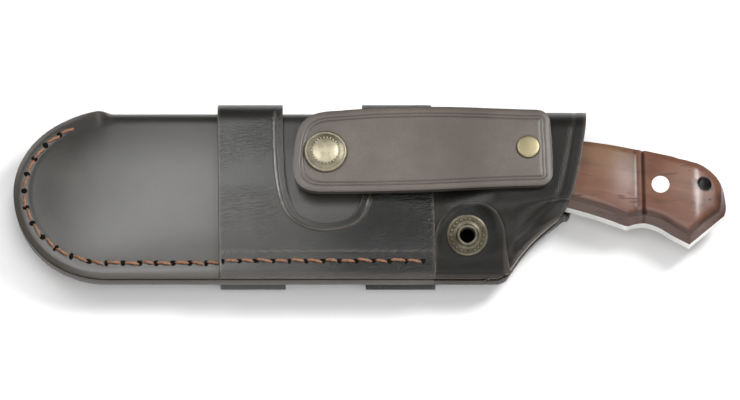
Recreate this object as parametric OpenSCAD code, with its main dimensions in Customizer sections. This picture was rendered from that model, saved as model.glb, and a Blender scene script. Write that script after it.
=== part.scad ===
// Fixed-blade belt knife with wooden scales, drawn into a wide folded leather sheath.
// The sheath lies on its back belt loops; the knife points towards -X, its spine towards +Y.

/* [Sheath] */
// Thickness of the sheath leather
leather = 2.5; // [2:0.1:2.6]
// Thickness of the outer wrap and its belt loops
wrap_leather = 2.5; // [2:0.1:2.6]
// Height of the sheath's middle plane over the table
mid_z = 12.5; // [12.5:0.1:13]
// Overall length from the toe to the handle's butt
total_length = 245.2; // [244:0.1:247]
// Width of the folded sheath from its fold to its sewn edge
sheath_width = 61; // [60:0.5:62]
// Half the outer thickness over the blade
blade_bulge = 5.2; // [5.1:0.05:5.3]
// Half the outer thickness over the handle
throat_bulge = 11.6; // [11.5:0.05:11.8]
// Half the outer thickness of the sewn margin
seam_half = 3.9; // [3.8:0.05:4]
// Width of the welt sewn into the margin
welt_width = 7.2; // [7:0.1:7.4]
// Distance between two stitches
stitch_pitch = 5.7; // [5:0.1:7]
// Diameter of the waxed thread
thread_d = 1; // [0.8:0.1:1.2]

/* [Belt loops] */
// X of the toe-side loop's left edge
toe_loop_x = -52; // [-53:0.5:-51]
// Width of the toe-side loop
toe_loop_width = 22.5; // [20:0.5:23]
// X of the throat-side loop's left edge
throat_loop_x = -2; // [-3:0.5:-1]
// Width of the throat-side loop
throat_loop_width = 24; // [22:0.5:24]

/* [Strap] */
// Width of the carrying strap
strap_width = 29.5; // [29:0.5:30]
// Thickness of the carrying strap
strap_thick = 3; // [2.6:0.1:3]
// Diameter of the press-stud cap
cap_d = 15; // [14:0.1:15.5]
// Diameter of the rivet cap
rivet_d = 8.2; // [7:0.1:9]
// Diameter of the open stud on the tab
tab_stud_d = 14.4; // [14:0.1:15]
// Diameter of the open stud's hole
tab_hole_d = 5; // [4.6:0.1:5.2]

/* [Knife] */
// Thickness of the blade and its full tang
tang = 4.6; // [4:0.1:4.6]
// Thickness of the handle over both scales
handle_thick = 17; // [15:0.5:17]
// Diameter of the handle pins
pin_d = 6.2; // [5:0.1:6.5]
// Diameter of the lanyard hole
lanyard_d = 5; // [4:0.1:5.5]

/* [Hidden] */

$fn = 64;
far = 200;                              // longer than any cut needs
toe_x = -total_length / 2;              // end of the rounded toe
butt_x = total_length / 2;              // end of the handle
wrap_top_y = (sheath_width + wrap_leather) / 2;   // outside of the wrap over the fold
fold_y = wrap_top_y - wrap_leather;     // outside of the sheath's fold
edge_y = fold_y - sheath_width;         // sewn edge
toe_round = 32.6;                       // length of the elliptical toe
toe_centre = toe_x + toe_round;
seam_end_x = 22;                        // the seam stops here and the mouth opens
throat_x = 75;                          // tip of the throat at the fold
ramp_start = 22;                        // the walls begin to part over the handle
ramp_end = 46;
foot_y = -25;                           // the moulding meets the flat margin
welt_inner_y = edge_y + welt_width;

strap_y = 12;                           // centre line of the strap
strap_left_x = -27.3;
strap_right_x = 62.6;
strap_end_r = strap_width / 2;
strap_low_z = 22;                       // underside over the press stud
seat_z = mid_z + throat_bulge;          // top of the throat, where the strap is riveted
hinge_x = 42;                           // the strap bends here
hinge_gap = 0.15;
snap_at = [-15.1, 11];
rivet_at = [54.4, 12];
tab_at = [33.4, -17.9];
tab_tilt = 18;                          // the tab leans towards the sewn edge
tab_thick = 2.2;
tab_post_low = -tab_thick - leather - 0.8;   // underside of the open stud's post
body_top = mid_z + blade_bulge;

handle_front_x = 25;
scale_full_x = 47;                      // the scales reach their full thickness here
pin_at = [[99.9, 0.8], [52, 8]];
lanyard_at = [115, 1.2];
groove_x = 93;

function smooth(a, b, x) = let (t = max(0, min(1, (x - a) / (b - a)))) t * t * (3 - 2 * t);

// Catmull-Rom curve through the points, with steps pieces between each two.
function spline_point(p, i, t) =
    let (n = len(p), a = p[max(0, i - 1)], b = p[i], c = p[min(n - 1, i + 1)], d = p[min(n - 1, i + 2)])
    0.5 * (2 * b + (c - a) * t + (2 * a - 5 * b + 4 * c - d) * t * t + (3 * b - a - 3 * c + d) * t * t * t);
function spline(p, steps) =
    concat([for (i = [0 : len(p) - 2], k = [0 : steps - 1]) spline_point(p, i, k / steps)], [p[len(p) - 1]]);
function arc(c, rx, ry, a0, a1, n) =
    [for (i = [0 : n]) let (a = a0 + (a1 - a0) * i / n) [c[0] + rx * cos(a), c[1] + ry * sin(a)]];

// Outer half thickness of the folded sheath at x.
function half_depth(x) =
    let (toe = smooth(toe_x + 1, toe_x + 9, x))
    seam_half + (blade_bulge - seam_half) * toe
    + (throat_bulge - blade_bulge) * smooth(ramp_start, ramp_end, x);
function knee_y(x) = -18 + 12 * smooth(ramp_start, ramp_end, x);
function fold_r(x) = blade_bulge + 4 * smooth(ramp_start, ramp_end, x);

// Section of the folded sheath in the YZ plane, grown outwards by grow.
function half_section(x, grow, side) =
    [[edge_y - 1, side * (seam_half + grow)], [foot_y, side * (seam_half + grow)],
     [knee_y(x), side * (half_depth(x) + grow)], [fold_y - fold_r(x), side * (half_depth(x) + grow)]];
function reversed(p) = [for (i = [len(p) - 1 : -1 : 0]) p[i]];
function section(x, grow) =
    let (c = fold_y - fold_r(x), top = half_section(x, grow, 1), low = half_section(x, grow, -1))
    concat(top, [for (a = [75 : -15 : -75]) [c + (fold_r(x) + grow) * cos(a), (half_depth(x) + grow) * sin(a)]],
           reversed(low));

// Solid through the sections at the given stations.
module loft(stations, grow) {
    rings = [for (x = stations) section(x, grow)];
    n = len(rings[0]);
    points = [for (i = [0 : len(stations) - 1], q = rings[i]) [stations[i], q[0], mid_z + q[1]]];
    sides = [for (i = [0 : len(stations) - 2], k = [0 : n - 1])
        each [[i * n + k, i * n + (k + 1) % n, (i + 1) * n + k],
              [i * n + (k + 1) % n, (i + 1) * n + (k + 1) % n, (i + 1) * n + k]]];
    last = (len(stations) - 1) * n;
    polyhedron(points, concat([[for (k = [n - 1 : -1 : 0]) k]], sides, [[for (k = [0 : n - 1]) last + k]]));
}

body_stations = concat([toe_x - 1], [for (x = [toe_x + 1 : 1.6 : toe_x + 9]) x],
                       [for (x = [ramp_start : 3 : ramp_end]) x], [throat_x + 2]);
wrap_x0 = toe_loop_x;
wrap_x1 = throat_loop_x + throat_loop_width;

// Plan of the sheath: elliptical toe, straight fold and edge, slanted mouth.
module sheath_plan() {
    polygon(concat(
        arc([toe_centre, 0], toe_round, fold_y, 90, 180, 24),
        arc([toe_centre, 0], toe_round, -edge_y, 180, 270, 24),
        [[43.5, edge_y]], arc([44, edge_y + 4], 4, 4, -70, -20, 4),
        [[55.9, -18.2]], arc([63, -3.5], 6.6, 6.6, -55, -12, 6),
        [[72.6, 10], [74.4, 19], [throat_x, fold_y]]));
}

// Plan of the blade's pocket, inside the welt.
module pocket_plan() {
    toe_in = toe_round - welt_width;
    polygon(concat(
        arc([toe_centre, 0], toe_in, fold_y - welt_width + 1, 90, 180, 20),
        arc([toe_centre, 0], toe_in, -welt_inner_y, 180, 270, 20),
        [[seam_end_x, welt_inner_y], [seam_end_x, edge_y - 5], [far, edge_y - 5],
         [far, fold_y + 5], [toe_centre, fold_y + 5]]));
}

// Plan of the moulded bulge in the toe.
module bulge_plan() {
    inset = foot_y - edge_y;
    polygon(concat([[toe_centre + 1, 0]], arc([toe_centre, 0], toe_round - inset, fold_y - inset, 45, 180, 20),
                   arc([toe_centre, 0], toe_round - inset, -edge_y - inset, 180, 300, 20)));
}

module slab(z0, z1) {
    translate([0, 0, z0]) linear_extrude(z1 - z0) children();
}

// The moulded bulge rises inside a flat sewn margin.
module outer_block() {
    slab(mid_z - seam_half, mid_z + seam_half) difference() {
        sheath_plan();
        translate([toe_centre, -far / 2]) square(far);
    }
    intersection() {
        loft(body_stations, 0);
        slab(-1, 30) intersection() {
            sheath_plan();
            union() {
                bulge_plan();
                translate([toe_centre, -far / 2]) square(far);
            }
        }
    }
}

module at_snap(z) { translate([snap_at[0], snap_at[1], z]) children(); }
module at_rivet(z) { translate([rivet_at[0], rivet_at[1], z]) children(); }

// Frame of the tilted tab: its origin lies on the tab's top, on the stud's axis.
tab_surface_z = mid_z + 6.35;
module at_tab() {
    translate([tab_at[0], tab_at[1], tab_surface_z + tab_thick]) rotate([tab_tilt, 0, 0]) children();
}

// ---- Sheath ----

module sheath_body() {
    color("#3a322d") difference() {
        outer_block();
        loft(body_stations, -leather);
        at_snap(mid_z) cylinder(h = far, r = 1.5);
        at_snap(body_top - leather - 0.01) cylinder(h = 0.51, r = 4.2);
        at_rivet(mid_z) cylinder(h = far, r = 1.6);
        at_rivet(mid_z) cylinder(h = throat_bulge - leather + 0.5, r = 4.4);
        at_tab() translate([0, 0, -tab_thick - 5]) cylinder(h = 6, r = tab_hole_d / 2 + 0.6);
        at_tab() translate([0, 0, tab_post_low - 1]) cylinder(h = 1.6, r = 5.1);
    }
}

module welt() {
    color("#241d1a") intersection() {
        loft(body_stations, -leather);
        slab(0, 30) difference() {
            sheath_plan();
            pocket_plan();
            translate([seam_end_x, -far / 2]) square(far);
            translate([toe_centre + 2, 0]) square(far);
        }
    }
}

// Thread: one short rod for each stitch, on the front and on the back of the seam.
toe_seam = [28.9, 26, 26.3];            // half length, upper and lower half width of the toe's seam
seam_start = 114;                       // angle where the seam starts on the toe
function toe_seam_point(a) =
    [toe_centre + toe_seam[0] * cos(a), (a < 180 ? toe_seam[1] : toe_seam[2]) * sin(a)];
toe_steps = 13;
line_steps = floor((seam_end_x - 3 - toe_centre) / stitch_pitch);
seam_points = concat([for (i = [0 : toe_steps]) toe_seam_point(seam_start + (270 - seam_start) * i / toe_steps)],
                     [for (i = [1 : line_steps]) [toe_centre + i * stitch_pitch, -toe_seam[2]]]);
function on_wrap(p) = p[0] > wrap_x0;
function in_span(p, x, width) = p[0] > x && p[0] < x + width;
function on_loop(p) = in_span(p, toe_loop_x, toe_loop_width) || in_span(p, throat_loop_x, throat_loop_width);

module stitch(a, b, z) {
    d = b - a;
    translate([a[0], a[1], z]) rotate([0, 0, atan2(d[1], d[0])]) translate([0.7, 0, 0]) rotate([0, 90, 0])
        cylinder(h = norm(d) - 1.4, r = thread_d / 2, $fn = 16);
}

module seam_thread() {
    front = mid_z + seam_half + thread_d / 2;
    back = mid_z - seam_half - thread_d / 2;
    color("#b07040") for (i = [0 : len(seam_points) - 2]) {
        a = seam_points[i];
        b = seam_points[i + 1];
        if (on_wrap(a) == on_wrap(b)) stitch(a, b, front + (on_wrap(a) ? wrap_leather : 0));
        if (on_loop(a) == on_loop(b)) stitch(a, b, back - (on_loop(a) ? wrap_leather : 0));
    }
}

// ---- Outer wrap and belt loops ----

// U-shaped opening in the wrap under the strap's end.
module wrap_opening() {
    polygon(concat([[-29.3, 40], [-28.8, 12], [-27.6, -1], [-25.2, -8]],
                   arc([-15.5, -6.2], 8.6, 6.4, 200, 340, 12), [[-4.6, -3], [throat_loop_x - 0.6, 4], [throat_loop_x, 40]]));
}

module outer_wrap() {
    color("#33291f") difference() {
        intersection() {
            loft([wrap_x0, ramp_start, wrap_x1 + 3], wrap_leather);
            slab(mid_z, 40) translate([wrap_x0, edge_y]) square([wrap_x1 - wrap_x0, 70]);
        }
        loft(body_stations, 0);
        slab(0, 40) wrap_opening();
    }
}

// Middle line of a loop in the YZ plane, from the seam's back round to the fold.
loop_mid_z = wrap_leather / 2;
loop_turn = (mid_z - seam_half - wrap_leather) / 2;
loop_line = concat(
    [[foot_y, mid_z - seam_half - wrap_leather / 2]],
    arc([-27.4, loop_mid_z + loop_turn], loop_turn, loop_turn, 90, 270, 10),
    arc([19, mid_z], wrap_top_y - 19 - wrap_leather / 2, mid_z - loop_mid_z, -90, 0, 12));
function unit(v) = v / norm(v);
function normal_at(p, i) =
    let (d = unit(p[min(i + 1, len(p) - 1)] - p[max(i - 1, 0)])) [-d[1], d[0]];
function ribbon(p, t) =
    concat([for (i = [0 : len(p) - 1]) p[i] + normal_at(p, i) * t / 2],
           [for (i = [len(p) - 1 : -1 : 0]) p[i] - normal_at(p, i) * t / 2]);

module rear_loop(x, width) {
    translate([x, 0, 0]) rotate([90, 0, 90]) linear_extrude(width) polygon(ribbon(loop_line, wrap_leather));
}

module rear_loop_toe() { color("#2e261f") rear_loop(toe_loop_x, toe_loop_width); }
module rear_loop_throat() { color("#2e261f") rear_loop(throat_loop_x, throat_loop_width); }

// ---- Open stud on its tab ----

module stud_tab() {
    color("#2b2320") difference() {
        at_tab() translate([0, 0, -tab_thick - 4]) difference() {
            linear_extrude(tab_thick + 4) {
                translate([0.8, -1.2]) circle(r = 12.2);
                translate([wrap_x1 - tab_at[0], -11.2]) square([25, 11]);
            }
            translate([0, 0, -1]) cylinder(h = 9, r = tab_hole_d / 2 + 0.6);
        }
        loft(body_stations, 0);
        slab(-1, 40) translate([wrap_x1 - far, -far / 2]) square(far);
        slab(-1, 40) difference() {
            translate([-far / 2, -far / 2]) square(far);
            sheath_plan();
        }
    }
}

module tab_stud() {
    color("#8a8270") at_tab() rotate_extrude()
        polygon([[tab_hole_d / 2, 0], [tab_stud_d / 2, 0], [tab_stud_d / 2 - 0.4, 0.8], [4.6, 1.2], [3.8, 2],
                 [2.9, 2], [tab_hole_d / 2, 1.6]]);
}

module tab_stud_post() {
    color("#6f6858") at_tab() rotate_extrude()
        polygon([[tab_hole_d / 2, 0], [tab_hole_d / 2 + 0.5, 0], [tab_hole_d / 2 + 0.5, tab_post_low + 0.5],
                 [5, tab_post_low + 0.5], [5, tab_post_low], [tab_hole_d / 2, tab_post_low]]);
}

// ---- Press stud and rivet of the strap ----

module strap_stud() {
    color("#9a8f74") at_snap(body_top) difference() {
        rotate_extrude() polygon([[0, 0], [5.4, 0], [5.4, 0.5], [2.3, 0.9], [2.1, 2.9], [2.6, 3.3], [2.6, 3.8], [2, 4.2], [0, 4.2]]);
        translate([0, 0, -1]) cylinder(h = 3, r = 1.4);
    }
}

module strap_stud_post() {
    color("#6f6858") at_snap(body_top - leather) union() {
        cylinder(h = 0.45, r = 4);
        cylinder(h = leather + 2, r = 1.4);
    }
}

module rivet_cap() {
    color("#8f8a5a") at_rivet(seat_z + strap_thick) difference() {
        rotate_extrude() polygon([[0, 0], [rivet_d / 2 - 0.2, 0], [rivet_d / 2, 0.3], [rivet_d / 2 - 0.5, 1], [0, 1.1]]);
        translate([0, 0, -1]) cylinder(h = 1.6, r = 1.5);
    }
}

module rivet_post() {
    color("#7a754c") at_rivet(seat_z - leather) union() {
        cylinder(h = 0.45, r = 4.2);
        cylinder(h = leather + strap_thick + 0.6, r = 1.5);
    }
}

// ---- Strap ----

function strap_under(x) = x > hinge_x ? seat_z
    : strap_low_z + (seat_z - strap_low_z) * smooth(snap_at[0] + cap_d / 2 + 1, hinge_x - 4, x);
strap_xs = [for (x = [strap_left_x : 5 : hinge_x - 2]) x];

module strap_plan() {
    translate([strap_left_x + strap_end_r, strap_y]) circle(r = strap_end_r);
    translate([strap_left_x + strap_end_r, strap_y - strap_end_r])
        square([strap_right_x - 4 - strap_left_x - strap_end_r, strap_width]);
    for (s = [-1, 1]) translate([strap_right_x - 4, strap_y + s * (strap_end_r - 4)]) circle(r = 4);
    translate([strap_right_x - 5, strap_y - strap_end_r + 4]) square([5, strap_width - 8]);
}

module strap_side(points) {
    translate([0, strap_y + 20, 0]) rotate([90, 0, 0]) linear_extrude(40) polygon(points);
}

module strap_fixed_end() {
    color("#6e6259") difference() {
        intersection() {
            slab(0, 40) strap_plan();
            strap_side([[hinge_x + hinge_gap, seat_z], [far, seat_z], [far, seat_z + strap_thick],
                        [hinge_x + hinge_gap, seat_z + strap_thick]]);
        }
        at_rivet(0) cylinder(h = far, r = 1.6);
    }
}

module strap_free_end() {
    low = [for (x = concat(strap_xs, [hinge_x - hinge_gap])) [x, strap_under(x)]];
    high = [for (p = reversed(low)) [p[0], p[1] + strap_thick]];
    color("#6e6259") difference() {
        intersection() {
            slab(0, 40) strap_plan();
            strap_side(concat(low, high));
        }
        at_snap(0) cylinder(h = far, r = 2.1);
    }
}

module snap_cap() {
    color("#a89b78") at_snap(strap_low_z + strap_thick) union() {
        rotate_extrude() polygon([[0, 0], [cap_d / 2 - 0.5, 0], [cap_d / 2, 0.5], [cap_d / 2 - 0.3, 1], [6, 1.9], [3.6, 2.3], [0, 2.4]]);
        translate([0, 0, -strap_thick]) cylinder(h = strap_thick + 0.2, r = 2.05);
    }
}

module snap_socket() {
    color("#8a8068") at_snap(strap_low_z - 1.7) rotate_extrude()
        polygon([[2.95, 0.2], [3.4, 0], [5.6, 0], [6, 0.4], [6, 1.4], [5.6, 1.7], [2.95, 1.7], [2.95, 1.5],
                 [3.45, 1.4], [3.45, 0.7], [2.95, 0.6]]);
}

module snap_spring() {
    color("#c0c0b8") at_snap(strap_low_z - 0.65) rotate_extrude() translate([3.15, 0]) circle(r = 0.28, $fn = 16);
}

// ---- Knife ----

// Handle's outline, from the guard along the lower side to the butt and back along the spine.
handle_lower = [[handle_front_x, -13], [31, -7.5], [41, -3.6], [54, -3], [66.9, -5.4], [79, -9], [88, -12.4]];
handle_swell = [[88.6, -12.5], [91.5, -11.7], [95, -11.5], [99.3, -13], [104.2, -16.1], [109.7, -19.1]];
handle_butt = [[122.1, -8.6], [butt_x, -5], [121.4, 2.4], [118, 6.7], [114.5, 8.9]];
handle_upper = [[96.8, 14], [91.5, 15], [74, 17.8], [54, 19.8], [handle_front_x, 21]];
// Blade from the guard along the edge, round the belly to the point and back along the spine.
blade_edge = [[20, -12.5], [16, -17.5], [10, -19.4], [-60, -19.6], [-84, -17.6], [-100, -10.8], [-109, -1], [-112, 6.4]];
blade_spine = [[-100, 12.6], [-84, 17.4], [-64, 20.4], [-44, 21.2]];

module handle_plan() {
    polygon(concat(spline(handle_lower, 5), spline(handle_swell, 5), spline(handle_butt, 4), spline(handle_upper, 4)));
}

module blade_plan() {
    polygon(concat(reversed(concat(spline(blade_edge, 5), spline(blade_spine, 4))),
                   [[handle_front_x + 1, -13]], [[handle_front_x + 1, 21]]));
}

module knife_holes() {
    for (p = pin_at) translate([p[0], p[1], 0]) cylinder(h = 30, r = pin_d / 2);
    translate([lanyard_at[0], lanyard_at[1], 0]) cylinder(h = 30, r = lanyard_d / 2);
}

module blade() {
    grind = atan((tang / 2 - 0.3) / 17);
    color("#c8c8c4") difference() {
        slab(mid_z - tang / 2, mid_z + tang / 2) {
            handle_plan();
            blade_plan();
        }
        knife_holes();
        for (s = [0, 1]) translate([0, -20, mid_z]) mirror([0, 0, s]) translate([-far, 0, 0.3]) rotate([grind, 0, 0])
            translate([0, -10, 0]) cube([far + 12, 27, 10]);
    }
}

// Side view of one scale above the tang: a sloping front end and a level top.
module scale_side() {
    top = handle_thick / 2;
    translate([0, 60, 0]) rotate([90, 0, 0]) linear_extrude(120)
        polygon([[handle_front_x, tang / 2], [handle_front_x + 0.6, 2.7], [30, 3.4], [34, 5.3], [40, 7.5], [scale_full_x, top],
                 [119, top], [butt_x + 1, top - 1.2], [butt_x + 1, tang / 2]]);
}

module scale() {
    translate([0, 0, mid_z]) difference() {
        intersection() {
            slab(0, 20) handle_plan();
            scale_side();
        }
        translate([0, 0, -mid_z]) knife_holes();
        translate([groove_x, 0, handle_thick / 2 + 0.4]) rotate([90, 0, 0]) cylinder(h = far, r = 1.3, center = true);
    }
}

module front_scale() { color("#8a5a4a") scale(); }
module back_scale() {
    color("#8a5a4a") translate([0, 0, 2 * mid_z]) mirror([0, 0, 1]) scale();
}

// Each pin ends flush with both scales.
module handle_pins() {
    color("#e8e8e4") for (p = pin_at) translate([p[0], p[1], mid_z - handle_thick / 2])
        cylinder(h = handle_thick, r = pin_d / 2);
}

blade();
front_scale();
back_scale();
handle_pins();
sheath_body();
welt();
seam_thread();
outer_wrap();
rear_loop_toe();
rear_loop_throat();
stud_tab();
tab_stud();
tab_stud_post();
strap_stud();
strap_stud_post();
rivet_cap();
rivet_post();
strap_fixed_end();
strap_free_end();
snap_cap();
snap_socket();
snap_spring();
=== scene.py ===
"""A belt knife with wooden scales in its folded leather sheath, held by a snap-down strap."""

import math

import bmesh
import bpy
from bpy.props import FloatProperty, FloatVectorProperty, IntProperty, PointerProperty
from mathutils import Matrix, Vector


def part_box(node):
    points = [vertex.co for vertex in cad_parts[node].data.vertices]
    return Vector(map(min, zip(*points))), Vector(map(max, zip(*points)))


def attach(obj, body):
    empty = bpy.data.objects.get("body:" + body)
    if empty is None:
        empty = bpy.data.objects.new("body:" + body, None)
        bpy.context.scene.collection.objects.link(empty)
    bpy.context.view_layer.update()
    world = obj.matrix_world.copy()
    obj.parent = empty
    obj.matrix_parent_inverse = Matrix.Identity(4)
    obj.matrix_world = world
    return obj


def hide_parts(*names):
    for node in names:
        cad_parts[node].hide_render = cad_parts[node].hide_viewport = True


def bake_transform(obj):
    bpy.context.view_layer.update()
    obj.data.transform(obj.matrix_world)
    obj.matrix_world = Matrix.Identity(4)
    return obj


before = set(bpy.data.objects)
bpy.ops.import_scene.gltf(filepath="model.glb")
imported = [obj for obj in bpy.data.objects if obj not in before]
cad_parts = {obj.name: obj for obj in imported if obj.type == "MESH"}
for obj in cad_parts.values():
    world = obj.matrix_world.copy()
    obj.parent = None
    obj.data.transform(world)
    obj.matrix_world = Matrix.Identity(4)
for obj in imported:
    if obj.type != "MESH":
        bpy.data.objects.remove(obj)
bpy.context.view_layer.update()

bl_info = {
    "name": "Sheathed belt knife",
    "version": (1, 0, 0),
    "blender": (4, 5, 0),
    "location": "View3D > Sidebar > Belt knife",
    "description": "Builds a wooden-handled belt knife in its folded leather sheath",
    "category": "Object",
}

MM = 0.001


# ---- Sizes and colours ----

def length(name, description, default):
    """A length property in metres."""
    return FloatProperty(name=name, description=description, default=default, unit="LENGTH",
                         precision=4)


def colour(name, description, default):
    """A colour property."""
    return FloatVectorProperty(name=name, description=description, default=default, size=3,
                               subtype="COLOR", min=0.0, max=1.0)


def node_span(node, axis):
    """Lowest and highest coordinate of a CAD node along one axis."""
    low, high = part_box(node)
    return low[axis], high[axis]


TOE_X, THROAT_X = node_span("sheath_body", 0)
EDGE_Y, FOLD_Y = node_span("sheath_body", 1)
BODY_Z = node_span("sheath_body", 2)
MID_Z = (BODY_Z[0] + BODY_Z[1]) / 2
STRAP_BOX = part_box("strap_free_end")
STRAP_FIXED_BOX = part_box("strap_fixed_end")
CAP_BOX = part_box("snap_cap")
HANDLE_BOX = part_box("front_scale")
BLADE_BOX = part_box("blade")


class SheathSizes(bpy.types.PropertyGroup):
    """Sizes of the leather sheath."""

    leather: length("Leather", "Thickness of the folded body's leather", 2.5 * MM)
    wrap_leather: length("Wrap leather", "Thickness of the outer wrap and its loops", 2.5 * MM)
    toe_round: length("Toe round", "Length of the elliptical toe", 32.6 * MM)
    blade_bulge: length("Blade bulge", "Half the sheath's thickness over the blade", 5.2 * MM)
    throat_bulge: length("Throat bulge", "Half the sheath's thickness over the handle",
                         (BODY_Z[1] - BODY_Z[0]) / 2)
    seam_half: length("Margin", "Half the thickness of the sewn margin", 3.9 * MM)
    stitch_inset: length("Stitch inset", "Distance from the long sewn edge to the stitches", 5.45 * MM)
    stitch_pitch: length("Stitch pitch", "Distance between two stitches", 5.7 * MM)
    thread: length("Thread", "Diameter of the waxed thread", 1.0 * MM)


class StrapSizes(bpy.types.PropertyGroup):
    """Sizes of the strap, its press stud and its rivet."""

    thick: length("Thickness", "Thickness of the strap", STRAP_FIXED_BOX[1].z - STRAP_FIXED_BOX[0].z)
    corner: length("Corner", "Radius of the strap's square corners", 4 * MM)
    crease: length("Crease", "Distance of the outer crease from the strap's edge", 2.3 * MM)
    belly: length("Belly", "How much wider each side is at the middle", 0.5 * MM)
    taper: length("Taper", "How much narrower each side is at the square end", 0.9 * MM)
    sag: length("Sag", "How much lower the round end's middle lies", 0.9 * MM)
    dots: IntProperty(name="Dots", description="Raised dots round the press-stud cap", default=26,
                      min=8, max=60)


class Colours(bpy.types.PropertyGroup):
    """Base colours of the finishes."""

    body: colour("Sheath leather", "Dark brown of the sheath", (0.030, 0.028, 0.0238))
    strap: colour("Strap leather", "Lighter brown of the strap", (0.098, 0.082, 0.069))
    edge: colour("Burnished edge", "Colour of the burnished edges", (0.058, 0.048, 0.038))
    wood: colour("Wood", "Reddish brown of the scales", (0.135, 0.052, 0.030))
    thread: colour("Thread", "Waxed thread", (0.26, 0.125, 0.066))
    brass: colour("Antique brass", "Press studs", (0.40, 0.36, 0.26))
    rivet: colour("Rivet brass", "Rivet cap", (0.32, 0.28, 0.17))
    steel: colour("Steel", "Blade and pins", (0.74, 0.74, 0.72))


# ---- Shader expressions ----

class Field:
    """A shader socket that can be used in arithmetic."""

    def __init__(self, finish, socket):
        self.finish = finish
        self.socket = socket

    def _math(self, operation, *values):
        made = self.finish.make("ShaderNodeMath", {"operation": operation}, dict(enumerate(values)))
        return Field(self.finish, made.outputs[0])

    def __add__(self, other):
        return self._math("ADD", self, other)

    __radd__ = __add__

    def __sub__(self, other):
        return self._math("SUBTRACT", self, other)

    def __rsub__(self, other):
        return self._math("SUBTRACT", other, self)

    def __mul__(self, other):
        return self._math("MULTIPLY", self, other)

    __rmul__ = __mul__

    def __pow__(self, other):
        return self._math("POWER", self, other)

    def over(self, low, high):
        """0 below low, 1 above high, smooth between."""
        made = self.finish.make("ShaderNodeMapRange", {"interpolation_type": "SMOOTHSTEP"},
                                {"Value": self, "From Min": low, "From Max": high})
        return Field(self.finish, made.outputs[0])


class Finish:
    """A material under construction."""

    def __init__(self, name):
        self.material = bpy.data.materials.new(name)
        self.material.use_nodes = True
        self.tree = self.material.node_tree
        self.tree.nodes.clear()

    def make(self, kind, settings=None, sockets=None):
        """One node: its settings first, then the values or links of its sockets."""
        made = self.tree.nodes.new(kind)
        for key, value in (settings or {}).items():
            if key == "stops":
                ramp = made.color_ramp
                while len(ramp.elements) < len(value):
                    ramp.elements.new(0.5)
                for element, (place, shade) in zip(ramp.elements, value):
                    element.position = place
                    element.color = (*shade, 1.0)
            else:
                setattr(made, key, value)
        for key, value in (sockets or {}).items():
            socket = made.inputs[key]
            if isinstance(value, Field):
                self.tree.links.new(value.socket, socket)
            elif socket.type == "RGBA" and len(value) == 3:
                socket.default_value = (*value, 1.0)
            else:
                socket.default_value = value
        return made

    def place(self, stretch=(1, 1, 1), turn=(0, 0, 0), at=(0, 0, 0)):
        """Object coordinates, moved so that at is the middle, then turned and stretched."""
        coordinates = self.make("ShaderNodeTexCoord")
        mapping = self.make("ShaderNodeMapping", {"vector_type": "TEXTURE"},
                            {"Vector": Field(self, coordinates.outputs["Object"]), "Location": at,
                             "Rotation": turn, "Scale": tuple(1 / s for s in stretch)})
        return Field(self, mapping.outputs[0])

    def noise(self, place, scale, detail=3.0, rough=0.5, twist=0.0):
        """Soft noise from 0 to 1."""
        made = self.make("ShaderNodeTexNoise", None, {"Vector": place, "Scale": scale, "Detail": detail,
                                                      "Roughness": rough, "Distortion": twist})
        return Field(self, made.outputs[0])

    def cells(self, place, scale):
        """Distance to the cell points of a Voronoi pattern."""
        made = self.make("ShaderNodeTexVoronoi", {"feature": "F1"}, {"Vector": place, "Scale": scale})
        return Field(self, made.outputs["Distance"])

    def attribute(self, name):
        """A value stored on the piece's own vertices."""
        made = self.make("ShaderNodeAttribute", {"attribute_name": name})
        return Field(self, made.outputs["Fac"])

    def axis(self, place, letter):
        """One coordinate of a place."""
        made = self.make("ShaderNodeSeparateXYZ", None, {0: place})
        return Field(self, made.outputs[letter])

    def blend(self, factor, first, second):
        """Colour from first to second as factor goes from 0 to 1."""
        made = self.make("ShaderNodeMix", {"data_type": "RGBA"}, {"Factor": factor, 6: first, 7: second})
        return Field(self, made.outputs[2])

    def ramp(self, factor, stops):
        """Colour along a ramp."""
        made = self.make("ShaderNodeValToRGB", {"stops": stops}, {0: factor})
        return Field(self, made.outputs[0])

    def bump(self, height, strength, depth, under=None):
        """A normal that follows a height."""
        sockets = {"Height": height, "Strength": strength, "Distance": depth}
        if under is not None:
            sockets["Normal"] = under
        made = self.make("ShaderNodeBump", None, sockets)
        return Field(self, made.outputs[0])

    def surface(self, **sockets):
        """Ends the material in a Principled shader with these sockets."""
        named = {key.replace("_", " "): value for key, value in sockets.items()}
        shader = self.make("ShaderNodeBsdfPrincipled", None, named)
        self.make("ShaderNodeOutputMaterial", None, {"Surface": Field(self, shader.outputs[0])})
        return self.material


def shade(base, factor):
    """A colour made lighter or darker."""
    return tuple(min(1.0, c * factor) for c in base)


def tint(base, factors):
    """A colour with its red, green and blue scaled one by one."""
    return tuple(c * factor for c, factor in zip(base, factors))


BLACK = (0.0, 0.0, 0.0)
FOLD_SHADE_BAND = (4 * MM, 27 * MM)
FOLD_SHADE_SHARE = 0.65


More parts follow.
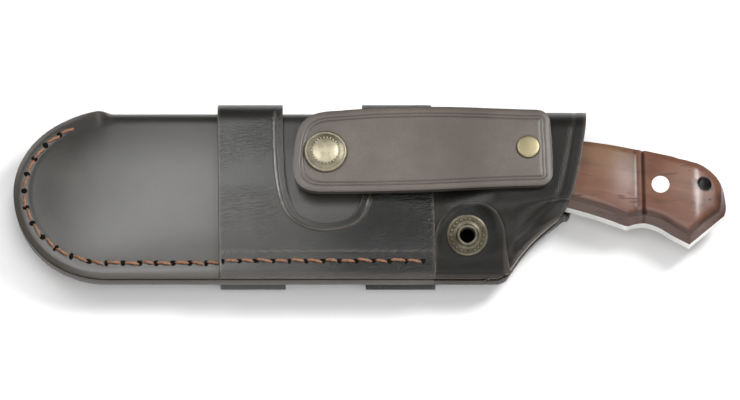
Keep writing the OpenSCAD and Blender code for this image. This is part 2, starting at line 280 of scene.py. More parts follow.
def leather_finish(name, base, gloss=0.42, wrinkle=0.0, wrinkle_turn=0.0, edge=None, shine=0.5,
                   throat=None, wax=0.9):
    """Waxed leather: cloudy dye, fine grain, a few scuffs, and burnished edges and painted crease shade
    where the piece says so.

    With a throat, (from, to) along X, the leather loses its wax and its colour is darkened as painted shade
    from the one to the other, and to a lesser degree across the fold's shaded band towards the fold.
    """
    f = Finish(name)
    grain_place = f.place()
    cloud = f.noise(grain_place, 38.0, 4.0, 0.55)
    fine = f.noise(grain_place, 1500.0, 4.0, 0.65)
    pores = f.cells(grain_place, 2100.0)
    scuff = f.noise(f.place((1, 3.5, 1), (0, 0, 0.5)), 150.0, 6.0, 0.7, 0.6).over(0.6, 0.74)
    tone = f.blend(cloud.over(0.32, 0.7), shade(base, 0.82), shade(base, 1.22))
    tone = f.blend(fine.over(0.35, 0.75) * 0.35, tone, shade(base, 0.6))
    tone = f.blend(scuff * 0.16, tone, shade(base, 1.9))
    rim = f.attribute("edge")
    coat = 0.0
    # Painted shade: the colour darkens towards black along the throat span and across the band towards the
    # fold, and the coat thins there.
    if throat:
        unshaded_along = 1 - f.axis(grain_place, "X").over(*throat)
        unshaded_across = 1 - f.axis(grain_place, "Y").over(*FOLD_SHADE_BAND) * FOLD_SHADE_SHARE
        painted_shade = 1 - unshaded_along * unshaded_across
        tone = f.blend(painted_shade * 0.72, tone, BLACK)
        coat = (1 - painted_shade) * wax
    # The edge attribute darkens burnished edges, and on some pieces it paints shade into creases, grooves
    # and holes.
    tone = f.blend(rim * 0.85, tone, edge or shade(base, 0.55))
    height = fine * 0.5 + pores * 0.5
    normal = f.bump(height, 0.34, 0.00016)
    if wrinkle:
        lines = f.noise(f.place((0.25, 1.0, 1.0), (0, 0, wrinkle_turn)), 1250.0, 3.0, 0.6, 0.4)
        patch = f.noise(grain_place, 45.0, 2.0, 0.5).over(0.42, 0.62)
        normal = f.bump(lines.over(0.42, 0.62) * patch, wrinkle, 0.00016, normal)
    rough = gloss + (cloud - 0.5) * 0.1 + scuff * 0.14 - fine * 0.04 - rim * 0.06
    return f.surface(Base_Color=tone, Roughness=rough, Normal=normal, Specular_IOR_Level=shine,
                     Coat_Weight=coat, Coat_Roughness=gloss)


def wood_finish(name, base):
    """Oiled reddish hardwood with streaks along the handle, a few fine checks, and painted shade where the
    piece's edge attribute says so.
    """
    f = Finish(name)
    rim = f.attribute("edge")
    grain_turn = (0, 0, math.radians(-11))
    check_turn = (0, 0, math.radians(4))
    figure = f.noise(f.place((0.16, 1.0, 1.0), grain_turn), 190.0, 5.0, 0.6, 0.9)
    streak = f.noise(f.place((0.06, 1.0, 1.0), grain_turn), 900.0, 4.0, 0.6)
    blotch = f.noise(f.place(), 42.0, 3.0, 0.5)
    tone = f.ramp(figure, [(0.28, shade(base, 0.45)), (0.45, shade(base, 0.85)), (0.58, base),
                           (0.78, tint(base, (1.45, 1.9, 1.7)))])
    tone = f.blend(blotch.over(0.45, 0.75) * 0.5, tone, tint(base, (1.5, 2.3, 2.0)))
    tone = f.blend(streak.over(0.6, 0.72) * 0.55, tone, shade(base, 0.35))
    check = f.noise(f.place((0.12, 1.0, 1.0), check_turn), 430.0, 2.0, 0.5, 1.2).over(0.665, 0.7)
    tone = f.blend(check * 0.5, tone, shade(base, 0.25))
    # Painted shade: the edge attribute darkens the walls and grooves, and turns the bore black.
    tone = f.blend(rim * 0.85, tone, tint(base, (0.16, 0.24, 0.3)))
    tone = f.blend(rim.over(0.96, 1.0), tone, BLACK)
    normal = f.bump(streak * 0.4 - check, 0.28, 0.0002)
    return f.surface(Base_Color=tone, Roughness=0.3 + streak * 0.12 + check * 0.2, Normal=normal,
                     Coat_Weight=(0.4 - check * 0.3) * (1 - rim * 0.9), Coat_Roughness=0.27)


def metal_finish(name, base, rough=0.3, patina=None, brushed=0.0, patina_share=0.5, metal=1.0,
                 bore=None):
    """Worn metal: handling scratches, a cloudy patina, dark hollows, and painted shade in a bore at (x, y,
    radius).
    """
    f = Finish(name)
    cloud = f.noise(f.place(), 260.0, 5.0, 0.6)
    scratch = f.noise(f.place((0.05, 1.0, 1.0), (0, 0, 0.6)), 1500.0, 3.0, 0.6)
    tone = f.blend(cloud.over(0.4, 0.68) * patina_share, base, patina or shade(base, 0.6))
    tone = f.blend(f.attribute("edge") * 0.85, tone, shade(base, 0.13))
    # Painted shade: the bore is turned nearly black.
    if bore:
        off_x = f.axis(f.place(), "X") - bore[0]
        off_y = f.axis(f.place(), "Y") - bore[1]
        outside = ((off_x * off_x + off_y * off_y) ** 0.5).over(bore[2] * 1.04, bore[2] * 1.08)
        tone = f.blend(1 - outside, tone, shade(base, 0.02))
    height = scratch + cloud * 0.5
    if brushed:
        across = f.place((0.02, 1.0, 1.0), (0, 0, math.pi / 2))
        height = height + f.noise(across, 2600.0, 2.0, 0.5) * brushed
    normal = f.bump(height, 0.12, 0.0001)
    return f.surface(Base_Color=tone, Metallic=metal, Roughness=rough + cloud * 0.16 + scratch * 0.08,
                     Normal=normal)


def thread_finish(name, base):
    """Waxed twisted thread with a fuzzy tone, and painted shade where its edge attribute is set."""
    f = Finish(name)
    fuzz = f.noise(f.place(), 2600.0, 3.0, 0.6)
    tone = f.blend(fuzz.over(0.35, 0.7), shade(base, 0.55), shade(base, 1.35))
    # Painted shade: darkens the thread where the edge attribute is set; the stitches set it to zero.
    tone = f.blend(f.attribute("edge"), tone, shade(base, 0.25))
    return f.surface(Base_Color=tone, Roughness=0.55 + fuzz * 0.15, Normal=f.bump(fuzz, 0.4, 0.0001))


# ---- Mesh helpers ----

def smooth(low, high, value):
    """0 below low, 1 above high, smooth between."""
    t = max(0.0, min(1.0, (value - low) / (high - low)))
    return t * t * (3 - 2 * t)


def mix(a, b, t):
    """Between a and b."""
    return a + (b - a) * t


def spread(low, high, step):
    """Evenly spaced values from low to high, about step apart."""
    count = max(1, round(abs(high - low) / step))
    return [low + (high - low) * i / count for i in range(count + 1)]


def curve(points, steps=6):
    """A Catmull-Rom curve through the points."""
    points = [Vector(p) for p in points]
    out = []
    last = len(points) - 1
    for i in range(last):
        a, b = points[max(0, i - 1)], points[i]
        c, d = points[i + 1], points[min(last, i + 2)]
        for k in range(steps):
            t = k / steps
            out.append(0.5 * (2 * b + (c - a) * t + (2 * a - 5 * b + 4 * c - d) * t * t
                              + (3 * b - a - 3 * c + d) * t ** 3))
    return out + [points[-1]]


def arc(centre, radius_x, radius_y, start, end, steps):
    """Points on an elliptical arc, angles in degrees."""
    angles = [math.radians(start + (end - start) * i / steps) for i in range(steps + 1)]
    return [Vector((centre[0] + radius_x * math.cos(a), centre[1] + radius_y * math.sin(a)))
            for a in angles]


def grid_sheet(bm, columns, rows, place):
    """Adds a grid of faces to bm and moves each corner to place(column, row)."""
    made = bmesh.ops.create_grid(bm, x_segments=len(columns) - 1, y_segments=len(rows) - 1,
                                 size=1.0)["verts"]
    for vert in made:
        i = round((vert.co.x + 1) / 2 * (len(columns) - 1))
        j = round((vert.co.y + 1) / 2 * (len(rows) - 1))
        vert.co = place(columns[i], rows[j])
    return made


def tube(bm, path, radius, sides, shape):
    """Adds a closed tube along a path. shape(share of length, angle) scales its radius."""
    rings = []
    count = len(path)
    for i, point in enumerate(path):
        ahead = (path[min(i + 1, count - 1)] - path[max(i - 1, 0)]).normalized()
        turn = ahead.to_track_quat("Z", "Y").to_matrix().to_4x4()
        made = bmesh.ops.create_circle(bm, segments=sides, radius=1.0)["verts"]
        for k, vert in enumerate(made):
            angle = 2 * math.pi * k / sides
            vert.co = point + turn @ (vert.co * (radius * shape(i / (count - 1), angle)))
        rings.append(made)
    for a, b in zip(rings, rings[1:]):
        edges = [e for ring in (a, b) for e in ring_edges(ring)]
        bmesh.ops.bridge_loops(bm, edges=edges)
    for ring in (rings[0], rings[-1]):
        bmesh.ops.contextual_create(bm, geom=ring)


def ring_edges(ring):
    """The edges between the vertices of one ring."""
    inside = set(ring)
    return {e for v in ring for e in v.link_edges if e.other_vert(v) in inside}


def lathe(bm, profile, centre=(0, 0, 0), steps=64):
    """Adds the solid that a profile of (radius, height) points makes when spun about Z."""
    verts = [bm.verts.new((r, 0, z)) for r, z in profile]
    edges = [bm.edges.new(pair) for pair in zip(verts, verts[1:])]
    bmesh.ops.spin(bm, geom=verts + edges, cent=(0, 0, 0), axis=(0, 0, 1), angle=2 * math.pi,
                   steps=steps, use_merge=True)
    bmesh.ops.remove_doubles(bm, verts=bm.verts[:], dist=1e-6)
    bmesh.ops.recalc_face_normals(bm, faces=bm.faces[:])
    bmesh.ops.translate(bm, verts=bm.verts[:], vec=centre)


def face_up(bm, above=-1.0):
    """Turns a sheet over if its faces above a height look down."""
    bm.normal_update()
    if sum(f.normal.z for f in bm.faces if f.calc_center_median().z > above) < 0:
        bmesh.ops.reverse_faces(bm, faces=bm.faces[:])
        bm.normal_update()


def made_mesh(bm, name):
    """Turns a bmesh into a mesh and frees it."""
    mesh = bpy.data.meshes.new(name)
    bm.to_mesh(mesh)
    bm.free()
    return mesh


def added(name, data):
    """A new object in the scene."""
    made = bpy.data.objects.new(name, data)
    bpy.context.scene.collection.objects.link(made)
    return made


def shade_smooth(mesh):
    """Smooths the shading of every face."""
    for polygon in mesh.polygons:
        polygon.use_smooth = True


def finish_mesh(bm, name, material, body):
    """Turns a bmesh into a finished piece. It rides on a body, unless none is given."""
    bm.normal_update()
    mesh = made_mesh(bm, name)
    piece = added(name, mesh)
    shade_smooth(mesh)
    mesh.materials.append(material)
    if body:
        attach(piece, body)
    return piece


def repaint(node, material):
    """Gives a CAD node one material."""
    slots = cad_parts[node].data.materials
    slots.clear()
    slots.append(material)


def store(piece, values):
    """Stores the share of darkening on each vertex: worn edges, and painted shade in creases, grooves and
    holes.
    """
    layer = piece.data.attributes.new("edge", "FLOAT", "POINT")
    layer.data.foreach_set("value", values)


def modifier(piece, kind, name, **settings):
    """Adds a modifier with these settings."""
    made = piece.modifiers.new(name, kind)
    for key, value in settings.items():
        setattr(made, key, value)


def worn_edge(piece, width):
    """Rounds the piece's sharp edges by a small bevel."""
    modifier(piece, "BEVEL", "Worn edge", width=width, segments=3, limit_method="ANGLE",
             angle_limit=math.radians(48))


def mirrored(insets, radius):
    """Rows from -1 to 0 at these insets in mm from a rim, and the same on to 1."""
    half_rows = [d * MM / radius - 1 for d in insets] + [0.0]
    return half_rows, half_rows + [-v for v in reversed(half_rows[:-1])]


def apply_modifiers(piece):
    """Bakes the piece's modifiers into its mesh."""
    graph = bpy.context.evaluated_depsgraph_get()
    baked = bpy.data.meshes.new_from_object(piece.evaluated_get(graph))
    old = piece.data
    piece.modifiers.clear()
    piece.data = baked
    bpy.data.meshes.remove(old)


def emboss(made, depth):
    """Moves the vertices of a sheet along their normals by depth(vertex place)."""
    moves = [(vert, vert.normal * depth(vert.co)) for vert in made]
    for vert, move in moves:
        vert.co += move


def groove(distance, middle, half_width, depth):
    """A rounded groove's depth, negative, at a distance from a line."""
    off = abs(distance - middle) / half_width
    return -depth * (1 - off * off) ** 2 if off < 1 else 0.0


def concentric(u, v):
    """Square to disc: squares about the middle become circles about the middle."""
    if abs(u) < 1e-12 and abs(v) < 1e-12:
        return 0.0, 0.0
    if abs(u) > abs(v):
        angle = math.pi / 4 * v / u
        return u * math.cos(angle), u * math.sin(angle)
    angle = math.pi / 2 - math.pi / 4 * u / v
    return v * math.cos(angle), v * math.sin(angle)


class Path:
    """A polyline that is read by the distance along it."""

    def __init__(self, points):
        self.points = [Vector(p) for p in points]
        self.marks = [0.0]
        for a, b in zip(self.points, self.points[1:]):
            self.marks.append(self.marks[-1] + (b - a).length)
        self.length = self.marks[-1]

    def at(self, distance):
        """The point that far along."""
        distance = max(0.0, min(self.length, distance))
        low, high = 0, len(self.marks) - 2
        while low < high:
            middle = (low + high + 1) // 2
            if self.marks[middle] <= distance:
                low = middle
            else:
                high = middle - 1
        span = self.marks[low + 1] - self.marks[low]
        return self.points[low].lerp(self.points[low + 1], (distance - self.marks[low]) / span)

    def share(self, t):
        """The point at a share of the whole length."""
        return self.at(self.length * t)


# ---- The sheath's shape ----

class SheathShape:
    """Where the sheath's leather lies, worked out from its sizes."""

    ramp = (22 * MM, 46 * MM)
    fold_share = 0.87
    guard_x = 20 * MM
    guard_reach = 17 * MM
    guard_rise = 1.6 * MM
    border = 2.3 * MM
    border_fall = 0.6 * MM
    foot_inset = 6.1 * MM
    foot_limit = 22.5 * MM
    side_slope = 13 * MM
    toe_margin = 4.2 * MM
    toe_slope = 48 * MM
    mouth_start = 48 * MM
    mouth_strip = 8 * MM

    def __init__(self, sizes):
        self.sizes = sizes
        self.seam_half = sizes.seam_half
        self.toe_centre = TOE_X + sizes.toe_round
        corner = [(44 * MM, EDGE_Y), (46.6 * MM, EDGE_Y + 1.2 * MM), (48.4 * MM, EDGE_Y + 3.6 * MM)]
        rest = [(52, -23), (56.2, -18), (61.5, -13), (66, -9.2), (69.1, -5), (71, 2), (73, 12), (74.4, 21)]
        self.mouth = curve(corner + [(x * MM, y * MM) for x, y in rest] + [(THROAT_X, FOLD_Y)], 8)

    def ramped(self, x):
        """0 over the blade, 1 over the handle."""
        return smooth(self.ramp[0], self.ramp[1], x)

    def depth(self, x):
        """Half the sheath's thickness at its fullest."""
        return mix(self.sizes.blade_bulge, self.sizes.throat_bulge, self.ramped(x))

    def fold_radius(self, x):
        """Half width of the rounded fold."""
        return self.sizes.blade_bulge + 4 * MM * self.ramped(x)

    def inset(self, x, y):
        """Distance from the sewn edge."""
        if x >= self.toe_centre:
            return y - EDGE_Y
        across = mix(-EDGE_Y, FOLD_Y, smooth(-9 * MM, 9 * MM, y))
        along = (x - self.toe_centre) / self.sizes.toe_round
        return (1 - math.hypot(along, y / across)) * mix(across, self.sizes.toe_round, abs(along))

    def folded(self, x):
        """0 where the top edge is still flat and sewn, 1 where the leather is folded."""
        return smooth(self.toe_centre - 4.5 * MM, self.toe_centre + 2.5 * MM, x)

    def foot(self, x):
        """Distance from the sewn edge at which the front starts to rise."""
        if x < self.mouth_start:
            return self.foot_inset
        mouth = next((mix(a.y, b.y, (x - a.x) / max(1e-9, b.x - a.x))
                      for a, b in zip(self.mouth, self.mouth[1:]) if x <= b.x), self.mouth[-1].y)
        return min(self.foot_limit, max(self.foot_inset, mouth - EDGE_Y + 0.4 * MM))

    def rise(self, x, inset):
        """Half thickness at a distance from the sewn edge."""
        ramped = self.ramped(x)
        foot = self.foot(x)
        blade = max(0.0, min(1.0, (inset - foot) / self.side_slope))
        slope = max(0.0, min(1.0, (x - TOE_X - self.toe_margin) / self.toe_slope))
        blade = (1 - (1 - blade) ** 2.2) * (1 - (1 - slope) ** 2.4)
        lift = mix(blade, smooth(foot, 26.5 * MM, inset), ramped)
        pillow = 0.5 * MM * smooth(9 * MM, 30 * MM, inset) * (1 - self.ramped(x + 14 * MM)) * slope
        guard = math.exp(-((x - self.guard_x) / self.guard_reach) ** 2)
        pillow += self.guard_rise * guard * smooth(foot, 26 * MM, inset)
        border = self.border_fall * smooth(self.border, 0, inset) ** 1.5
        return self.seam_half + (self.depth(x) - self.seam_half) * lift + pillow - border

    def half(self, x, y):
        """Half thickness at a place in plan, fold left out."""
        above = smooth(self.toe_centre - 20 * MM, self.toe_centre + 1 * MM, x)
        flat_top = self.rise(x, min(self.inset(x, y), max(0.0, FOLD_Y - y)))
        return mix(flat_top, self.rise(x, max(self.inset(x, y), (y - EDGE_Y) * above)), above)

    def straight(self, x, t):
        """The folded section: (y, half thickness) at a share t from the sewn edge to the fold."""
        centre = FOLD_Y - self.fold_radius(x)
        if t <= self.fold_share:
            y = mix(EDGE_Y, centre, t / self.fold_share)
            return y, self.half(x, y)
        angle = (t - self.fold_share) / (1 - self.fold_share) * math.pi / 2
        return centre + self.fold_radius(x) * math.sin(angle), self.half(x, centre) * math.cos(angle)

    def mouth_x(self, t):
        """X of the mouth's edge at a share t across."""
        y = self.straight(THROAT_X, t)[0]
        for a, b in zip(self.mouth, self.mouth[1:]):
            if y <= b.y:
                return mix(a.x, b.x, max(0.0, (y - a.y) / max(1e-9, b.y - a.y)))
        return THROAT_X

    def place(self, column, t):
        """A point of the front's outer face.

        A column is a plain number in the toe. After it, it is (share of the length up to the mouth's
        strip, None), and inside that strip (1, distance from the mouth).
        """
        if isinstance(column, tuple):
            share, back = column
            end = self.mouth_x(t) - self.mouth_strip
            x = mix(self.toe_centre, end, share) if back is None else end + self.mouth_strip - back
            y = mix(EDGE_Y, FOLD_Y, t)
        else:
            across, along = concentric(column, 2 * t - 1)
            x = self.toe_centre + self.sizes.toe_round * across
            y = mix(0, FOLD_Y, along) if along > 0 else mix(0, EDGE_Y, -along)
        folded = self.folded(x)
        fold_y, fold_half = self.straight(x, t)
        return Vector((x, mix(y, fold_y, folded), MID_Z + mix(self.half(x, y), fold_half, folded)))

    def front(self, x, y):
        """Height of the front's outer face at a place in plan."""
        return MID_Z + self.half(x, y)


ROW_SPANS = ((0, 0.12, 0.0105), (0.12, 0.5, 0.016), (0.5, SheathShape.fold_share, 0.016),
             (SheathShape.fold_share, 1, 0.0118))
ROWS = [0.0] + [t for low, high, step in ROW_SPANS for t in spread(low, high, step)[1:]]
MOUTH_COLUMNS = [6.6, 5.4, 4.5, 4.0, 3.7, 3.4, 3.1, 2.8, 2.2, 1.6, 1.0, 0.5, 0.0]


def sheath_columns():
    """Columns of the body: through the toe, along the straight part, and along the mouth."""
    toe = [2 * t - 1 for t in ROWS if t <= 0.5 + 1e-9]
    straight = [(share, None) for share in spread(0, 1, 0.0088)[1:]]
    return toe + straight + [(1.0, back * MM) for back in MOUTH_COLUMNS]


def leather_sheet(name, bm, thick, bevel, material, body, edge_of):
    """Gives an outer face its thickness, inwards, and its worn edges."""
    piece = finish_mesh(bm, name, material, body)
    store(piece, [edge_of(v.co) for v in piece.data.vertices])
    modifier(piece, "SOLIDIFY", "Thickness", thickness=thick, offset=-1.0, use_even_offset=True)
    worn_edge(piece, bevel)
    apply_modifiers(piece)
    shade_smooth(piece.data)
    return piece


def seam_points(sizes, shape):
    """Where the thread goes through, from the top of the toe round to the end of the long edge."""
    side_inset, top_inset = 3.75 * MM, 3.6 * MM
    radius_x = sizes.toe_round - side_inset
    middle = (shape.toe_centre, 0)
    toe = Path(arc(middle, radius_x, FOLD_Y - top_inset, 114, 180, 40)
               + arc(middle, radius_x, -EDGE_Y - sizes.stitch_inset, 180, 270, 40)[1:])
    count = round(toe.length / (sizes.stitch_pitch * 1.06))
    out = [toe.share(i / count) for i in range(count + 1)]
    x = shape.toe_centre + sizes.stitch_pitch
    while x < 19 * MM:
        out.append(Vector((x, EDGE_Y + sizes.stitch_inset)))
        x += sizes.stitch_pitch
    return out


class SheathBodyMaker(bpy.types.Operator):
    """Builds the folded leather body with its welt."""

    bl_idname = "belt_knife.sheath_body"
    bl_label = "Sheath body"

    mouth_crease = 4.2 * MM

    def execute(self, context):
        sizes = context.scene.knife_sheath
        colours = context.scene.knife_colours
        shape = SheathShape(sizes)
        bm = bmesh.new()
        made = grid_sheet(bm, sheath_columns(), ROWS, shape.place)
        bmesh.ops.recalc_face_normals(bm, faces=bm.faces[:])
        face_up(bm)

        def relief(p):
            line = 0.0
            if p.z > MID_Z + 2 * MM and p.y < FOLD_Y - 8 * MM and p.x < 22 * MM:
                line = groove(shape.inset(p.x, p.y), 4.9 * MM, 1.3 * MM, 0.16 * MM)
            return line + groove(self.from_mouth(shape, p), self.mouth_crease, 0.8 * MM, 0.16 * MM)

        emboss(made, relief)
        back = bmesh.ops.duplicate(bm, geom=bm.verts[:] + bm.edges[:] + bm.faces[:])["geom"]
        verts = [g for g in back if isinstance(g, bmesh.types.BMVert)]
        bmesh.ops.scale(bm, verts=verts, vec=(1, 1, -1), space=Matrix.Translation((0, 0, -MID_Z)))
        bmesh.ops.reverse_faces(bm, faces=[g for g in back if isinstance(g, bmesh.types.BMFace)])
        bmesh.ops.remove_doubles(bm, verts=bm.verts[:], dist=1e-6)
        # Painted shade: the throat span darkens the sheath from 12 mm to 28 mm along X and towards the
        # fold.
        material = leather_finish("sheath_leather", colours.body, 0.36, edge=colours.edge, shine=0.3,
                                  throat=(12 * MM, 28 * MM))

        def edge_of(p):
            near_mouth = 1 - smooth(0.3 * MM, 1.6 * MM, self.from_mouth(shape, p))
            sewn = 1 - smooth(0.4 * MM, 3.5 * MM, shape.inset(p.x, p.y)) if p.z != MID_Z else 0.0
            # Painted shade along the mouth's crease; the mouth and sewn edges are burnished.
            crease = 0.35 * -groove(self.from_mouth(shape, p), self.mouth_crease, 0.7 * MM, 1.0)
            return max(near_mouth, sewn * 0.8, crease)

        piece = leather_sheet("sheath_body_leather", bm, sizes.leather, 0.55 * MM, material, "sheath",
                              edge_of)
        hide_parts("sheath_body")
        repaint("welt", leather_finish("edge_leather", colours.edge, 0.5))
        return {"FINISHED"}

    def from_mouth(self, shape, p):
        """Distance of a place from the mouth's edge in plan."""
        if p.x < 38 * MM:
            return 1.0
        return min((Vector((p.x, p.y)) - q).length for q in shape.mouth)


# ---- Outer wrap ----

class WrapShape:
    """The wrap's inner face: over the front, round the fold, and down the back as belt loops."""

    loose = 0.8 * MM
    lean = 0.022

    def __init__(self, sizes, shape):
        low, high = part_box("outer_wrap")
        self.x = (low.x, high.x)
        toe_loop, throat_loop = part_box("rear_loop_toe"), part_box("rear_loop_throat")
        self.notch_x = (toe_loop[1].x, throat_loop[0].x)
        self.thick = sizes.wrap_leather
        probe = (self.x[0] + self.x[1]) / 2
        self.fold_y = FOLD_Y - sizes.blade_bulge
        front = [Vector((y, shape.front(probe, y))) for y in spread(EDGE_Y, self.fold_y, 0.5 * MM)]
        top = shape.half(probe, self.fold_y)
        fold = arc((self.fold_y, MID_Z), sizes.blade_bulge + self.loose, top, 90, 0, 14)[1:]
        turn = (MID_Z - sizes.seam_half - self.thick) / 2 - self.thick / 2
        round_y, flat_y, low_y, end_y = 19 * MM, 18 * MM, -27.4 * MM, -24.8 * MM
        behind = arc((round_y, MID_Z), FOLD_Y + self.loose - round_y, MID_Z - self.thick, 0, -90, 16)[1:]
        flat = [Vector((y, self.thick)) for y in spread(flat_y, low_y, 1 * MM)]
        end = arc((low_y, self.thick + turn), turn, turn, 270, 90, 8)[1:]
        self.section = Path(front + fold + behind + flat + end + [Vector((end_y, self.thick + 2 * turn))])
        self.front_length = Path(front).length

    def along(self, y):
        """Distance along the section to a place across the front."""
        return self.front_length * (y - EDGE_Y) / (self.fold_y - EDGE_Y)

    def place(self, x, s):
        """A point of the inner face."""
        p = self.section.at(s)
        return Vector((x - self.lean * p.x, p.x, p.y))


class WrapMaker(bpy.types.Operator):
    """Builds the outer wrap with its two belt loops as one sheet."""

    bl_idname = "belt_knife.wrap"
    bl_label = "Outer wrap"

    crease_at = 2.75 * MM
    knee_y = -23.0 * MM
    column_step = 0.9 * MM

    def execute(self, context):
        sizes = context.scene.knife_sheath
        colours = context.scene.knife_colours
        wrap = WrapShape(sizes, SheathShape(sizes))
        left, right = wrap.x
        notch_left, notch_right = wrap.notch_x
        far = wrap.section.length
        shoulder = wrap.along(14 * MM)
        corners = [(notch_left, shoulder)]
        corners += [(notch_left + x * MM, wrap.along(y * MM))
                    for x, y in ((0.6, 4), (2.0, -4), (4.6, -9.4), (9.5, -12.2))]
        corners += [(x * MM, wrap.along(y * MM))
                    for x, y in ((-14.8, -12.9), (-8.4, -11.6), (-4.4, -8.0), (-2.6, -2.5))]
        corners += [(notch_right - 0.1 * MM, wrap.along(5 * MM)), (notch_right, shoulder)]
        inner_curve = Path(curve(corners, 10))
        parts = [
            (Path([(notch_left, far), (notch_left, shoulder)]), Path([(left, far), (left, shoulder)])),
            (self.stretch(inner_curve, 0.0, 0.36), Path([(left, shoulder), (left, 0)])),
            (self.stretch(inner_curve, 0.36, 0.68), Path([(left, 0), (right, 0)])),
            (self.stretch(inner_curve, 0.68, 1.0), Path([(right, 0), (right, shoulder)])),
            (Path([(notch_right, shoulder), (notch_right, far)]), Path([(right, shoulder), (right, far)])),
        ]
        columns = []
        for number, (inner, outer) in enumerate(parts):
            shares = spread(0, 1, self.column_step / max(inner.length, outer.length))
            columns += [(inner.share(t), outer.share(t)) for t in (shares if number == 0 else shares[1:])]
        near = [0, 0.5, 1.1, 1.7, 2.15, 2.45, 2.75, 3.05, 3.4, 4.0, 4.8]
        rows = [("near", d * MM) for d in near] + [("rest", t) for t in spread(0, 1, 0.034)[1:]]
        bm = bmesh.new()

        def flat(column, row):
            inner, outer = column
            reach = (outer - inner).length
            kind, value = row
            share = value / reach if kind == "near" else mix(near[-1] * MM / reach, 1.0, value)
            return inner.lerp(outer, share)

        grid_sheet(bm, columns, rows, lambda c, r: wrap.place(*flat(c, r)))
        face_up(bm, MID_Z)
        # Painted shade: the throat span darkens the wrap from -30 mm to 2 mm along X; its base is a darker
        # copy of the sheath leather.
        material = leather_finish("wrap_leather", shade(colours.body, 0.5), 0.36, wrinkle=0.6,
                                  wrinkle_turn=0.12, edge=colours.edge, shine=0.45,
                                  throat=(-30 * MM, 2 * MM), wax=0.42)
        piece = finish_mesh(bm, "outer_wrap_leather", material, "sheath")
        store(piece, [0.0] * len(piece.data.vertices))
        modifier(piece, "SOLIDIFY", "Thickness", thickness=wrap.thick, offset=1.0, use_even_offset=True)
        worn_edge(piece, 0.6 * MM)
        apply_modifiers(piece)
        self.crease(piece, wrap, inner_curve)
        shade_smooth(piece.data)
        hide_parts("outer_wrap", "rear_loop_toe", "rear_loop_throat")
        return {"FINISHED"}

    @staticmethod
    def stretch(path, start, end):
        """Part of a path between two shares of its length."""
        return Path([path.share(mix(start, end, i / 30)) for i in range(31)])

    def crease(self, piece, wrap, notch):
        """Presses the creases into the front face, paints shade into them, and darkens the edges."""
        left, right = wrap.x
        line = [Vector((p.x, mix(EDGE_Y, wrap.fold_y, p.y / wrap.front_length))) for p in notch.points]
        start, end = line[0].x, line[-1].x
        high_y = 20 * MM
        line = ([Vector((start, FOLD_Y)), Vector((start, high_y))] + line
                + [Vector((end, high_y)), Vector((end, FOLD_Y))])
        deepest = 0.26 * MM
        dark = []
        for vert in piece.data.vertices:
            p = vert.co
            here = Vector((p.x + wrap.lean * p.y, p.y))
            edge = min(abs(here.x - left), abs(here.x - right), abs(p.y - EDGE_Y) if p.z > MID_Z else 1.0)
            shade_here = 0.7 * (1 - smooth(0.2 * MM, 1.2 * MM, edge))
            if p.z > MID_Z + 6 * MM and p.y < FOLD_Y - 1 * MM:
                to_notch = min(segment_distance(here, a, b) for a, b in zip(line, line[1:]))
                press = groove(to_notch, self.crease_at, 0.55 * MM, 0.3 * MM)
                press += groove(p.y, self.knee_y, 0.5 * MM, deepest)
                if p.z > MID_Z + wrap.thick:
                    p.z += press
                # Painted shade: the pressed creases and the notch line are darkened in the edge attribute.
                shade_here = max(shade_here, min(1.0, -press / deepest),
                                 0.6 * (1 - smooth(0.1 * MM, 0.8 * MM, to_notch)))
            dark.append(shade_here)
        piece.data.attributes["edge"].data.foreach_set("value", dark)


def segment_distance(p, a, b):
    """Distance of p from the segment a to b."""
    along = b - a
    t = max(0.0, min(1.0, (p - a).dot(along) / max(1e-12, along.length_squared)))
    return (p - a - along * t).length


# ---- Thread ----

